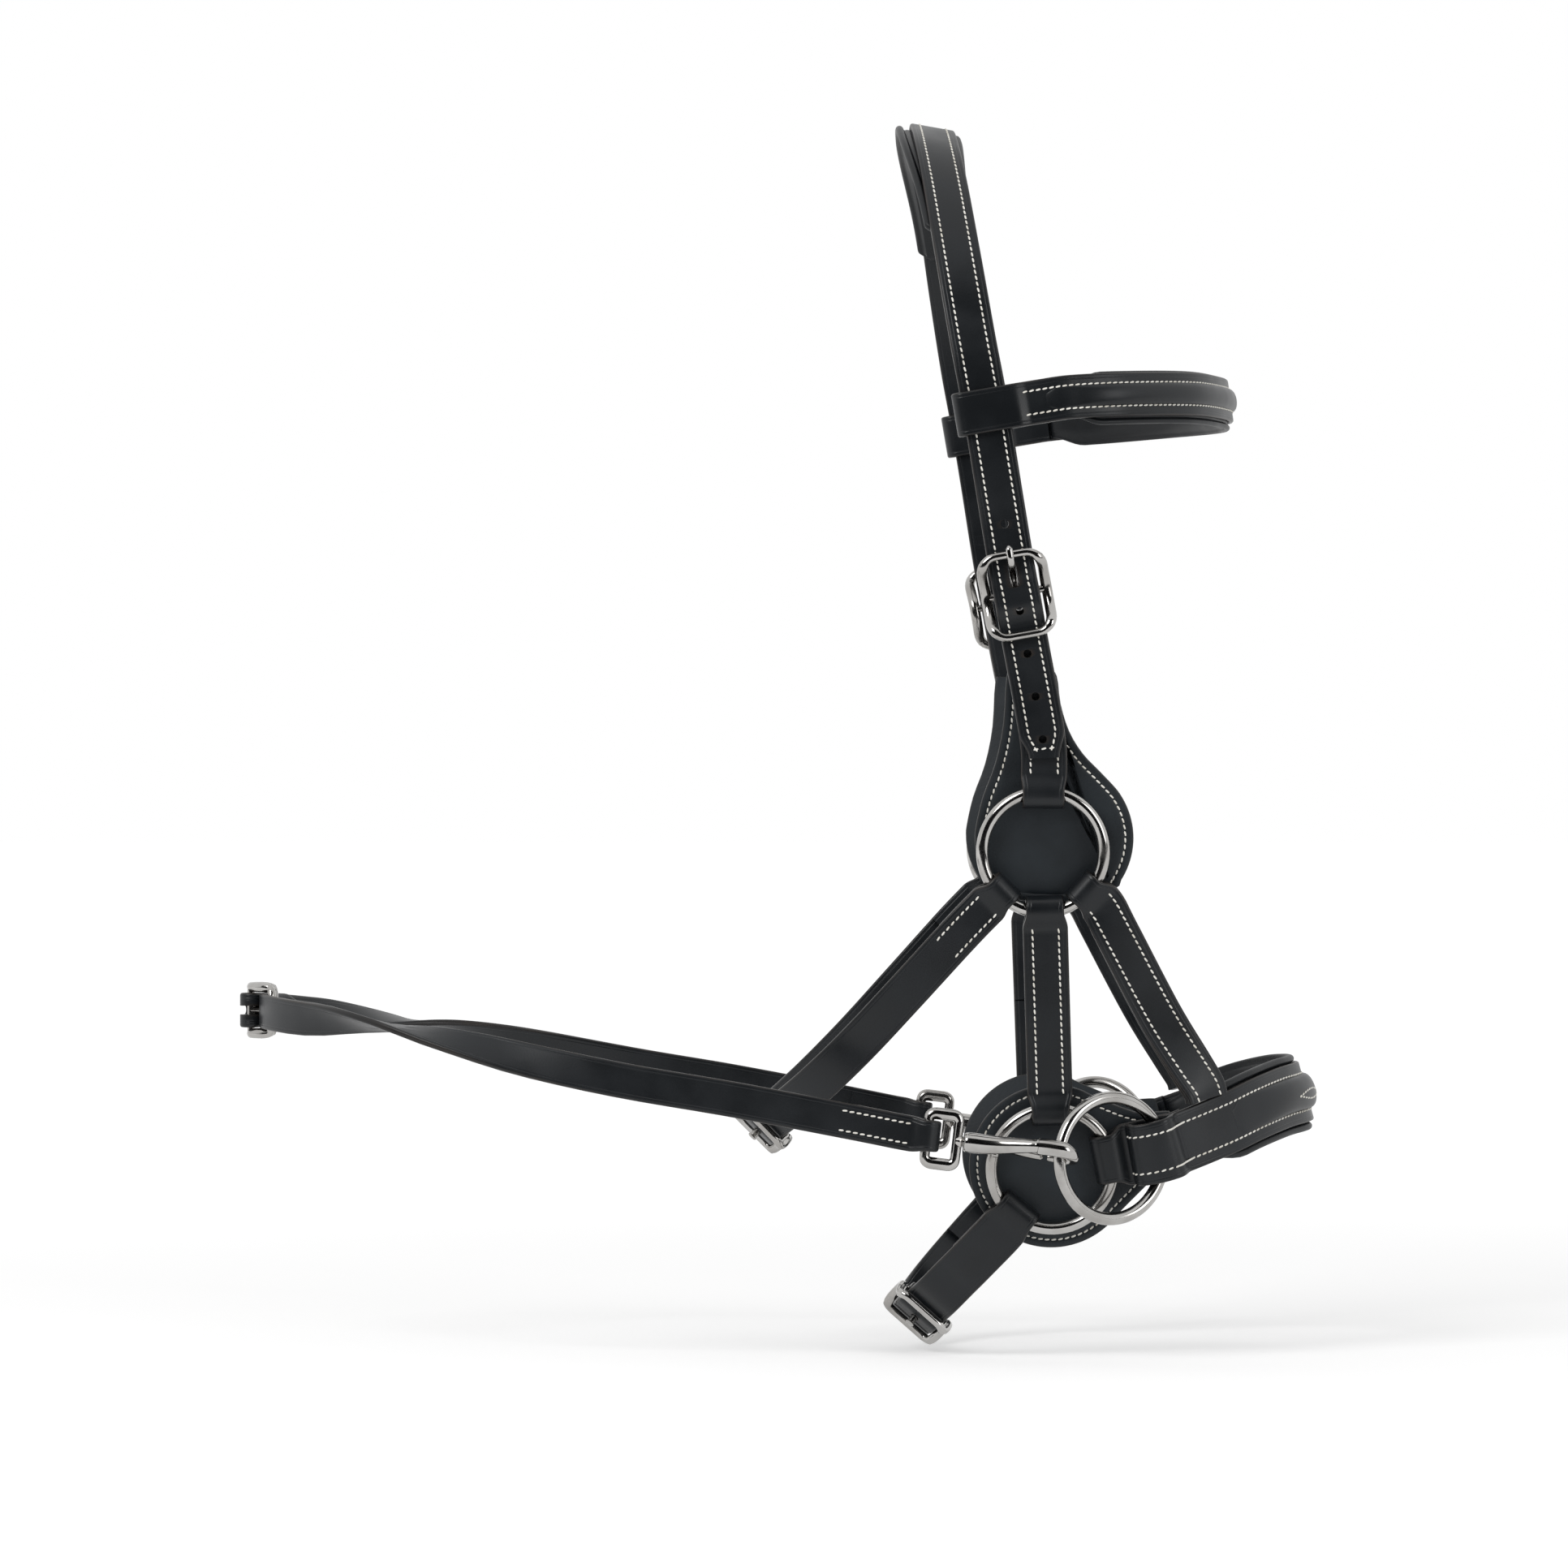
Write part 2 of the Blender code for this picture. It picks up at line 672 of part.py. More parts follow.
def buckle(name, route, place, width, height, corner, rise):
    """A dished wire frame with a centre bar, lying on the route at a distance along it."""
    half_length = height / 2 - BUCKLE_WIRE
    half_width = width / 2 - BUCKLE_WIRE
    line = corner_line(half_length, half_width, corner)
    points = []
    for i, (s, a) in enumerate(line):
        points.append((s, a))
        s_next, a_next = line[(i + 1) % len(line)]
        if abs(s_next - s) > corner:
            shares = [j / BUCKLE_SIDE_STEPS for j in range(1, BUCKLE_SIDE_STEPS)]
            points += [(s + (s_next - s) * share, a + (a_next - a) * share) for share in shares]
    dish = half_length - corner / 2
    points = [route.place(place + s, rise * min(1, abs(s) / dish) ** 2, a) for s, a in points]
    frame = tube(name, points, BUCKLE_WIRE, cyclic=True)
    bar = tube("bar", [route.place(place, 0, -half_width), route.place(place, 0, half_width)],
               BUCKLE_BAR, collection=CUTTERS)
    frame = boolean(frame, bar, "UNION")
    paint(frame, STEEL)
    return frame


def billet_profile(start, bar, stop, resting, leather, under, arm):
    """A single layer from start to stop, raised over the bar that it crosses on its way."""
    hump = BUCKLE_BAR + CLEARANCE + under + CLEARANCE + leather / 2 - resting
    toward = 1 if stop > start else -1
    points = run(start, bar - toward * arm, resting)[:-1]
    points += [(bar + toward * arm * share, resting + hump * lift)
               for share, lift in BILLET_HUMP_SHARES]
    return [(start, resting), *points, *run(points[-1][0], stop, resting)]


# The places of the head's pieces

CHEEK_TILT = math.asin((UPPER_RING_HALF_SPAN - LOWER_RING_HALF_SPAN) / RING_SPACING)
UP = Vector((0, -math.sin(CHEEK_TILT), math.cos(CHEEK_TILT)))
OUT = Vector((0, -math.cos(CHEEK_TILT), -math.sin(CHEEK_TILT)))
UPPER_RING = Vector((UPPER_RING_FORWARD, -UPPER_RING_HALF_SPAN, -UPPER_RING_DROP))
LOWER_RING = UPPER_RING + X * RING_LEAD - UP * RING_SPACING


def cheek(centre, forward, up, out=0):
    """A point of the near cheek's plane, from a ring's centre."""
    return centre + X * forward + UP * up + OUT * out


def on_ring(centre, degrees):
    """Where a loop lies on a near ring's wire, and the ring's directions out from its centre and along it."""
    away = turned(X, UP, degrees)
    return centre + away * RING_RADIUS, away, turned(X, UP, degrees + 90)


def head_route():
    """From the near upper ring up the cheek, over the poll and down to the far ring."""
    line = [cheek(UPPER_RING, 0, RING_RADIUS)]
    line += [cheek(UPPER_RING, forward * CHEEK_LEAN, up * CHEEK_RISE) for forward, up in CHEEK_LINE_SHARES]
    crest = POLL_PAD_THICKNESS + CLEARANCE + BILLET_LEATHER / 2
    line += [Vector((forward * ARCH_LEAN, -side * ARCH_HALF_WIDTH, crest - drop * ARCH_DROP))
             for side, drop, forward in ARCH_SHARES]
    line.append(Z * crest)
    cheeks = len(CHEEK_LINE_SHARES) + 1
    ways = [-X] * cheeks + [turned(-X, Z, ARCH_TILT_DEGREES)] * (len(line) - cheeks)
    return Route(both_sides(line), both_across(ways))


def cradle_route(ring_centre, degrees, shares, span, back, drop, bow=0):
    """A strap route from a near ring under the jaw to the far ring."""
    start, away, across = on_ring(ring_centre, degrees)
    lead = start + away * LEAD_OUT
    bottom = Vector((ring_centre.x - back, 0, ring_centre.z - drop))
    flat = Vector((drop, 0, -back)).normalized()
    line = [start, lead]
    for share, side in shares:
        point = Vector((lead.x + (bottom.x - lead.x) * share, -side * span, lead.z + (bottom.z - lead.z) * share))
        line.append(point + flat * bow * share ** 2 * (1 - share))
    line.append(bottom)
    ways = [across.lerp(flat, min(1, 2 * i / len(line))) for i in range(len(line))]
    ways[-1] = flat
    return Route(both_sides(line), both_across(ways))


def nose_route():
    """From the near lower ring forward, round the nose and back to the far ring."""
    start, away, across = on_ring(LOWER_RING, NOSE_LOOP_DEGREES)
    line = [start, start + away * LEAD_OUT]
    line += [Vector((LOWER_RING.x + forward * NOSE_REACH, LOWER_RING.y * side, LOWER_RING.z + rise * NOSE_RISE))
             for forward, rise, side in NOSE_SHARES]
    line.append(Vector((LOWER_RING.x + NOSE_REACH, 0, LOWER_RING.z + NOSE_RISE)))
    level = Vector((-NOSE_RISE, 0, NOSE_REACH)).normalized()
    ways = [across.lerp(level, max(0, (i - 2) / (len(line) - 3))) for i in range(len(line))]
    return Route(both_sides(line), both_across(ways))


def brow_route(head):
    """From the headpiece's front edge round the brow. Its start is half a strap ahead of the head route."""
    loop, along, back, _ = head.at(head.marks[len(CHEEK_LINE_SHARES) + 1])
    start = loop - back * BROW_FROM_LOOP
    line = [start, start - back * BROW_LEAD_OUT]
    line += [Vector((start.x + forward * BROW_REACH, start.y * side, start.z + rise * BROW_RISE))
             for forward, rise, side in BROW_SHARES]
    line.append(Vector((start.x + BROW_REACH, 0, start.z + BROW_RISE)))
    front = turned(Z, -X, BROW_LEAN_DEGREES)
    ways = [along.lerp(front, min(1, max(0, i - 1) / 2)) for i in range(len(line))]
    return Route(both_sides(line), both_across(ways))


# Head: headpiece, poll pad, cheekpieces and their buckles

def make_headpiece(head):
    """The single strap over the poll, whose two billets go through the cheek buckles."""
    bar = head.marks[CHEEK_BUCKLE_MARK]
    resting = SEAM / 2 + LEATHER + CLEARANCE + BILLET_LEATHER / 2
    arm = CHEEK_BUCKLE_HEIGHT / 2 - BUCKLE_WIRE
    start = bar - BILLET_BELOW_BUCKLE
    half = billet_profile(start, bar, bar + arm + BUCKLE_WIRE, resting, BILLET_LEATHER, LEATHER, arm)
    leaves = half[-1][0]
    half += [(leaves + BILLET_SETTLE * share, resting * (1 - ease(share))) for share in SETTLE_SHARES]
    half += run(leaves + BILLET_SETTLE, head.length / 2, 0)
    profile = half + [(head.length - s, n) for s, n in reversed(half[:-1])]
    tip = BILLET_TIP_WIDTH / 2
    width = tapered(CHEEK_WIDTH / 2, [(start, 1, tip, BILLET_TIP_LENGTH),
                                      (head.length - start, -1, tip, BILLET_TIP_LENGTH)])
    piece = strap("headpiece", head, profile, width, BILLET_LEATHER)
    for index in HOLE_INDEXES:
        place = bar + USED_HOLE_RISE - index * HOLE_SPACING
        for s in (place, head.length - place):
            point, _, _, out = head.at(s)
            piece = boolean(piece, punch("hole", point, out, HOLE_RADIUS, PUNCH_LENGTH), "DIFFERENCE")
    half = TONGUE_WIRE + BUCKLE_SLOT_PLAY
    piece = slot_in(piece, head, bar, half, TONGUE_HOLE_START, TONGUE_HOLE_STOP)
    return slot_in(piece, head, head.length - bar, half, -TONGUE_HOLE_STOP, -TONGUE_HOLE_START)


def tongue_line(head, bar, rise):
    """The centre line of a buckle's tongue: its eye round the bar, then its shank over the top bar."""
    eye = BUCKLE_BAR + CLEARANCE + TONGUE_WIRE
    reach = CHEEK_BUCKLE_HEIGHT / 2 - BUCKLE_WIRE
    top = rise + BUCKLE_WIRE + CLEARANCE + TONGUE_WIRE
    points = [(eye * math.cos(math.radians(angle)), eye * math.sin(math.radians(angle)))
              for angle in TONGUE_EYE_DEGREES]
    shank = [Vector((reach * s, top * n, 0)) for s, n in TONGUE_SHANK_SHARES]
    shank.append(Vector((reach + TONGUE_OVERHANG, top, 0)))
    points += [(point.x, point.y) for point in smooth(shank, REACH_STEPS)]
    return [head.place(bar + s, n) for s, n in points]


def make_cheek_buckle(head):
    """The near cheek buckle and its tongue."""
    bar = head.marks[CHEEK_BUCKLE_MARK]
    rise = SEAM / 2 + LEATHER + CLEARANCE + BILLET_LEATHER + CLEARANCE + BUCKLE_WIRE
    frame = buckle("near_cheek_buckle", head, bar, CHEEK_BUCKLE_WIDTH, CHEEK_BUCKLE_HEIGHT, BUCKLE_CORNER, rise)
    line = tongue_line(head, bar, rise)
    tongue = tube("near_cheek_tongue", line, TONGUE_WIRE)
    set_pivot(tongue, head.place(bar))
    paint(tongue, STEEL)
    return [frame, tongue]


def make_cheekpiece(head):
    """The near doubled strap from the buckle's bar down to the upper ring."""
    bar = head.marks[CHEEK_BUCKLE_MARK]
    ring_fold = fold(0, RING_WIRE_RADIUS, sagitta(CHEEK_FOLD_WIDTH / 2), 1)
    bar_fold = fold(bar, BUCKLE_BAR, 0, -1)
    width = tapered(CHEEK_WIDTH / 2, [(0, 1, CHEEK_FOLD_WIDTH / 2, FOLD_SPREAD)])
    piece = strap("near_cheekpiece", head, belt(ring_fold, bar_fold), width)
    return slot_in(piece, head, bar, TONGUE_WIRE + BUCKLE_SLOT_PLAY)


def make_poll_pad(head):
    middle = head.length / 2
    half = POLL_PAD_LENGTH / 2
    drop = -BILLET_LEATHER / 2 - CLEARANCE
    width = tapered(POLL_PAD_WIDTH / 2, [(middle - half, 1, POLL_PAD_END_WIDTH / 2, half),
                                         (middle + half, -1, POLL_PAD_END_WIDTH / 2, half)])
    return pad("poll_pad", head, middle - half, middle + half, width, POLL_PAD_THICKNESS, drop,
               POLL_PAD_SHIFT, crown=-1)


# Browband

def make_browband(brow):
    """The brow strap with a sleeve at each end for the headpiece, its lining and its raised roll."""
    gap = BILLET_LEATHER / 2
    sleeve = CHEEK_WIDTH + BROW_LOOP_SLACK
    start_fold = fold(0, gap, sleeve, 1, SHORT_FOLD_REACH, play=BROW_LOOP_PLAY)
    outer = layer_offset()
    half = [(BROW_TURN_BACK, -outer), *run(BROW_TURN_BACK, start_fold[0][0], -outer)[:-1], *start_fold]
    half += run(start_fold[-1][0], brow.length / 2, outer)
    profile = half + [(brow.length - s, n) for s, n in reversed(half[:-1])]
    band = strap("browband", brow, profile, lambda s: BROW_WIDTH / 2)
    start = BROW_PAD_FROM_LOOP + SHORT_FOLD_REACH
    lining = pad("browband_lining", brow, start, brow.length - start, lambda s: BROW_PAD_WIDTH / 2,
                 BROW_PAD_THICKNESS, outer - LEATHER / 2 - CLEARANCE, crown=-1)
    start = BROW_PAD_FROM_LOOP
    roll = pad("browband_roll", brow, start, brow.length - start, lambda s: BROW_ROLL_WIDTH / 2,
               BROW_ROLL_THICKNESS, outer + LEATHER / 2 + CLEARANCE, finish=BLACK_LEATHER)
    return [band, lining, roll]


# Side: rings, safes and the straps between them

def arc(radius, degrees, shift=0):
    """Points of a circle at the angles, its centre shifted both ways."""
    return [(shift + radius * math.cos(math.radians(angle)), shift + radius * math.sin(math.radians(angle)))
            for angle in degrees]


def scaled(shares, size):
    return [(x * size, z * size) for x, z in shares]


def make_safe(name, outline, ring_centre):
    place = cheek(ring_centre, 0, 0, -SAFE_SEAT - SAFE_LEATHER / 2)
    safe = plate(name, outline, SAFE_LEATHER, frame_of(place, X, UP, -OUT))
    paint(safe, BLACK_LEATHER)
    return safe


def make_cheek_safe():
    """The near upper safe: a disc behind the ring with a neck that runs up behind the cheekpiece."""
    outline = arc(SAFE_RADIUS, CHEEK_SAFE_FRONT_DEGREES, SAFE_SHIFT)
    outline += scaled(CHEEK_SAFE_NECK_SHARES, SAFE_RADIUS)
    outline += arc(SAFE_RADIUS, CHEEK_SAFE_BACK_DEGREES, SAFE_SHIFT)
    outline += scaled(CHEEK_SAFE_FOOT_SHARES, SAFE_RADIUS)
    return make_safe("near_cheek_safe", outline, UPPER_RING)


def make_lower_safe():
    """The near lower safe: a disc behind the ring with a tongue that runs under the noseband."""
    outline = arc(LOWER_SAFE_RADIUS, LOWER_SAFE_DEGREES) + scaled(LOWER_SAFE_TONGUE_SHARES, LOWER_SAFE_RADIUS)
    return make_safe("near_lower_safe", outline, LOWER_RING)


def make_side_strap():
    """The near doubled strap from the upper ring down to the lower ring."""
    way = (LOWER_RING - UPPER_RING).normalized()
    start = UPPER_RING + way * RING_RADIUS
    stop = LOWER_RING - way * RING_RADIUS
    route = Route([start, start.lerp(stop, 0.5), stop], [X, X, X])
    narrow = SIDE_FOLD_WIDTH / 2
    start_fold = fold(0, RING_WIRE_RADIUS, sagitta(narrow), 1)
    end_fold = fold(route.length, RING_WIRE_RADIUS, sagitta(narrow), -1)
    ends = [(0, 1, narrow, FOLD_SPREAD), (route.length, -1, narrow, FOLD_SPREAD)]
    width = tapered(SIDE_STRAP_WIDTH / 2, ends)
    return strap("near_side_strap", route, belt(start_fold, end_fold), width)


def make_front_strap(nose):
    """The near doubled strap from the upper ring's front down to the noseband's upper edge."""
    meets = nose.marks[POCKET_MARK]
    meets += (nose.marks[POCKET_MARK + 2] - meets) * FRONT_STRAP_MEETS_SHARE
    _, nose_along, nose_across, _ = nose.at(meets)
    layers = SEAM / 2 + LEATHER
    end = nose.place(meets, CLEARANCE + layers, NOSE_WIDTH / 2 + FRONT_STRAP_GAP)
    start, away, along_wire = on_ring(UPPER_RING, FRONT_LOOP_DEGREES)
    lead = start + away * LEAD_OUT
    knee = cheek(UPPER_RING, FRONT_KNEE_FORWARD, -FRONT_KNEE_DROP)
    middle = cheek(UPPER_RING, FRONT_MID_FORWARD, -FRONT_MID_DROP, -FRONT_MID_SINK)
    bend = end + nose_across * FRONT_LEAD
    line = [start, lead, knee, middle, middle.lerp(bend, FRONT_APPROACH_SHARE), bend, end]
    route = Route(line, [along_wire.lerp(nose_along, share) for share in FRONT_TURN_SHARES])
    narrow = FRONT_FOLD_WIDTH / 2
    start_fold = fold(0, RING_WIRE_RADIUS, sagitta(narrow), 1)
    outer = layer_offset()
    profile = [(route.length, -outer), *run(route.length, start_fold[0][0], -outer)[:-1], *start_fold,
               *run(start_fold[-1][0], route.length, outer)]
    width = tapered(FRONT_STRAP_WIDTH / 2, [(0, 1, narrow, FOLD_SPREAD)])
    return strap("near_front_strap", route, profile, width)


# Noseband

def pocket_bulge(s, centre):
    """How far a layer of the noseband stands out round the rein ring's limb."""
    beyond = max(0, abs(s - centre) - POCKET_HALF_LENGTH) / POCKET_SLOPE
    return (POCKET_HALF_OPENING + LEATHER / 2 - layer_offset()) * (1 - ease(min(1, beyond)))


def make_noseband(nose):
    """The nose strap, folded round each lower ring, with a pocket for each rein ring."""
    pocket = nose.marks[POCKET_MARK] - POCKET_BEHIND
    inner_end = nose.marks[POCKET_MARK] + NOSE_INNER_END
    start_fold = fold(0, RING_WIRE_RADIUS, sagitta(NOSE_FOLD_WIDTH / 2), 1, SHORT_FOLD_REACH)
    outer = layer_offset()
    opened = SHORT_FOLD_REACH
    doubled = [opened + (inner_end - opened) * i / POCKET_STEPS for i in range(1, POCKET_STEPS + 1)]
    half = [(s, -outer - pocket_bulge(s, pocket)) for s in reversed(doubled)]
    half += start_fold
    half += [(s, outer + pocket_bulge(s, pocket)) for s in doubled]
    half += run(inner_end, nose.length / 2, outer)
    profile = half + [(nose.length - s, n) for s, n in reversed(half[:-1])]
    narrow = NOSE_FOLD_WIDTH / 2
    width = tapered(NOSE_WIDTH / 2, [(0, 1, narrow, POCKET_SLOPE), (nose.length, -1, narrow, POCKET_SLOPE)])
    band = strap("noseband", nose, profile, width)
    start = inner_end + 2 * CLEARANCE
    half_width = (NOSE_PAD_RISE + NOSE_PAD_FALL) / 2
    rise = (NOSE_PAD_RISE - NOSE_PAD_FALL) / 2
    lining = pad("noseband_lining", nose, start, nose.length - start, lambda s: half_width,
                 NOSE_PAD_THICKNESS, outer - LEATHER / 2 - CLEARANCE, rise, crown=-1)
    start = nose.length / 2 - NOSE_ROLL_HALF_LENGTH
    roll = pad("noseband_roll", nose, start, nose.length - start, lambda s: NOSE_ROLL_WIDTH / 2,
               NOSE_ROLL_THICKNESS, outer + LEATHER / 2 + CLEARANCE, finish=BLACK_LEATHER)
    return [band, lining, roll]


# Straps closed by a stud buckle

def make_buckled(name, route, width, bar, wires, turn_backs, leather=LEATHER):
    """A pair of straps and their stud buckle. The near one is the billet, and the far one holds the bar.
    wires are the near and far wire radius, the eye's extra length and the half width in the fold."""
    wire_radius, back, narrow = wires
    outer = layer_offset(leather)
    arm = STUD_BUCKLE_LENGTH / 2 - BUCKLE_WIRE
    resting = SEAM / 2 + leather + CLEARANCE + leather / 2
    rise = resting + leather / 2 + CLEARANCE + BUCKLE_WIRE
    start_fold = fold(0, wire_radius, back, 1, leather=leather)
    tail = bar + arm + TAIL_LENGTH
    climb = start_fold[-1][0] + turn_backs
    profile = [(turn_backs, -outer), *run(turn_backs, start_fold[0][0], -outer)[:-1], *start_fold]
    profile += run(start_fold[-1][0], climb, outer)
    lift = resting - outer
    meets = max(climb + LAY_STEP, bar - arm - FOLD_REACH)
    profile += [(climb + (meets - climb) * share, outer + lift * ease(share)) for share in SETTLE_SHARES]
    profile += billet_profile(meets, bar, tail, resting, leather, leather, arm)[1:]
    ends = [(0, 1, narrow, FOLD_SPREAD), (tail, -1, width / 2 * TAIL_TIP_SHARE, BILLET_TIP_LENGTH)]
    billet = strap(f"{name}_billet", route, profile, tapered(width / 2, ends), leather)
    point, _, _, out = route.at(bar)
    hole = punch("hole", point, out, STUD_RADIUS + BUCKLE_SLOT_PLAY, PUNCH_LENGTH)
    billet = boolean(billet, hole, "DIFFERENCE")

    length = route.length
    far_fold = fold(length, wire_radius, back, -1, leather=leather)
    bar_fold = fold(bar, BUCKLE_BAR, 0, 1, leather=leather, play=CLEARANCE)
    bar_turn = bar + arm + BUCKLED_TURN_BACK
    profile = [(bar_turn, -outer), *run(bar_turn, bar_fold[0][0], -outer)[:-1], *bar_fold]
    profile += run(bar_fold[-1][0], far_fold[-1][0], outer)[:-1] + list(reversed(far_fold))
    profile += run(far_fold[0][0], length - turn_backs, -outer)
    ends = [(length, -1, narrow, FOLD_SPREAD)]
    holder = strap(f"{name}_strap", route, profile, tapered(width / 2, ends), leather)
    holder = slot_in(holder, route, bar, STUD_RADIUS + BUCKLE_SLOT_PLAY)

    frame = buckle(f"{name}_buckle", route, bar, width + 2 * STUD_BUCKLE_SIDE, STUD_BUCKLE_LENGTH,
                   STUD_BUCKLE_CORNER, rise)
    top = rise + BUCKLE_WIRE
    line = [route.place(bar, BUCKLE_BAR / 2), route.place(bar, top), route.place(bar, top + STUD_STANDS / 2)]
    stud = tube("stud", line, STUD_RADIUS, collection=CUTTERS)
    frame = boolean(frame, stud, "UNION")
    paint(frame, STEEL)
    return [billet, holder, frame]


# Rein rings, snap hooks and reins

def rein_ring_place(nose):
    """The near rein ring's pivot in its pocket, and the level way from there to its centre."""
    pivot = nose.place(nose.marks[POCKET_MARK], -POCKET_LIMB_SINK, -REIN_RING_DROP)
    return pivot, turned(-X, -Y, REIN_RING_TURN_DEGREES)


class Hook:
    """The near snap hook's own frame: h runs from the ring's limb back to the rein, w from gate to spine."""

    def __init__(self, nose):
        pivot, away = rein_ring_place(nose)
        self.place = pivot + (away + turned(away, Z, HOOK_CLIMB_DEGREES)) * RING_RADIUS
        self.h = Vector((-1, -HOOK_SPREAD_SHARE, HOOK_RISE_SHARE)).normalized()
        upright = (Z - self.h * Z.dot(self.h)).normalized()
        outward = upright.cross(self.h)
        if outward.y > 0:
            outward = -outward
        self.w = turned(outward, upright, HOOK_ROLL_DEGREES)
        self.k = self.h.cross(self.w)
        self.upright = upright
        self.outward = outward
        self.bight = (RING_WIRE_RADIUS + LOOP_PLAY + HOOK_TUBE) / math.cos(math.radians(HOOK_ROLL_DEGREES))

    def at(self, h, w=0, k=0):
        return self.place + self.h * h + self.w * w + self.k * k

    def frame(self):
        return frame_of(self.place, self.h, self.w, self.k)


def make_hook(hook):
    """The near hook's body, gate, rivet and rein eye."""
    pivot_h = HOOK_NECK * GATE_PIVOT_SHARE
    pivot = hook.at(pivot_h, -GATE_PIVOT_DROP)
    line = [Vector((h * HOOK_NECK, w * hook.bight, r * HOOK_BARREL)) for h, w, r in HOOK_SPINE_SHARES]
    line = smooth(line, REACH_STEPS)
    for i in range(BEAK_STEPS + 1):
        share = i / BEAK_STEPS
        angle = math.pi / 2 + math.pi * share
        line.append(Vector((hook.bight * math.cos(angle), hook.bight * math.sin(angle),
                            HOOK_TUBE + (HOOK_BEAK_TUBE - HOOK_TUBE) * share)))
    line.append(Vector((HOOK_BEAK_REACH, -hook.bight, HOOK_BEAK_TUBE)))
    body = tube("near_hook_body", [hook.at(p.x, p.y) for p in line], [p.z for p in line])
    half = GATE_THICKNESS / 2 + GATE_SLOT_PLAY
    top = -GATE_PIVOT_DROP + GATE_EYE_RADIUS + GATE_SLOT_PLAY
    slot = block("slot", (GATE_SLOT_FRONT, -HOOK_BARREL - OVERRUN, -half),
                 (pivot_h + GATE_SLOT_REACH, top, half), hook.frame())
    body = boolean(body, slot, "DIFFERENCE")
    body = boolean(body, punch("bore", pivot, hook.k, RIVET_RADIUS + CLEARANCE, PUNCH_LENGTH), "DIFFERENCE")
    bore_start = HOOK_NECK - EYE_SHANK_DEPTH - CLEARANCE
    bore = tube("bore", [hook.at(bore_start), hook.at(HOOK_NECK + OVERRUN)], EYE_SHANK + CLEARANCE,
                collection=CUTTERS)
    body = boolean(body, bore, "DIFFERENCE")
    paint(body, STEEL)

    beak_side = hook.bight - HOOK_BEAK_TUBE - GATE_PIVOT_DROP
    reach = math.hypot(pivot_h - HOOK_BEAK_REACH, beak_side) - CLEARANCE
    outline = []
    for share in (-1, 0, 1):
        drop = hook.bight + share * GATE_DEPTH / 2
        outline.append((pivot_h - math.sqrt(reach ** 2 - (drop - GATE_PIVOT_DROP) ** 2), -drop))
    for i in range(GATE_EYE_STEPS + 1):
        angle = math.pi * i / GATE_EYE_STEPS - math.radians(GATE_EYE_TURN_DEGREES)
        outline.append((pivot_h + GATE_EYE_RADIUS * math.cos(angle),
                        -GATE_PIVOT_DROP + GATE_EYE_RADIUS * math.sin(angle)))
    gate = plate("near_hook_gate", outline, GATE_THICKNESS, hook.frame())
    gate = boolean(gate, punch("bore", pivot, hook.k, RIVET_RADIUS + CLEARANCE, PUNCH_LENGTH), "DIFFERENCE")
    set_pivot(gate, pivot)
    paint(gate, STEEL)

    rivet = bake(punch("near_hook_rivet", pivot, hook.k, RIVET_RADIUS, 2 * HOOK_BARREL - RIVET_RADIUS))
    CUTTERS.objects.unlink(rivet)
    PARTS.objects.link(rivet)
    paint(rivet, STEEL)

    middle = HOOK_LENGTH - EYE_LENGTH / 2 + EYE_WIRE
    line = corner_line(EYE_LENGTH / 2 - EYE_WIRE, EYE_WIDTH / 2 - EYE_WIRE, EYE_CORNER)
    points = [hook.place + hook.h * (middle + s) + hook.upright * a for s, a in line]
    eye = tube("near_hook_eye", points, EYE_WIRE, cyclic=True)
    inner = middle - EYE_LENGTH / 2 + EYE_WIRE
    shank = tube("shank", [hook.at(HOOK_NECK - EYE_SHANK_DEPTH), hook.at(inner)], EYE_SHANK, collection=CUTTERS)
    eye = boolean(eye, shank, "UNION")
    paint(eye, STEEL)
    return [body, gate, rivet, eye]


def rein_route(hook):
    """From the near hook's eye round behind to the far hook's eye, turning over on the way."""
    start = hook.at(HOOK_LENGTH) + hook.upright * REIN_EYE_RISE
    line = [start, start + hook.h * LEAD_OUT, *REIN_ROUTE]
    points = both_sides(line)
    ways = [-hook.upright, -hook.upright]
    for i, degrees in enumerate(REIN_ROLL_DEGREES):
        along = (points[i + 3] - points[i + 1]).normalized()
        upright = (Z - along * Z.dot(along)).normalized()
        ways.append(turned(-upright, along.cross(-upright), degrees))
    return Route(points, both_across(ways))


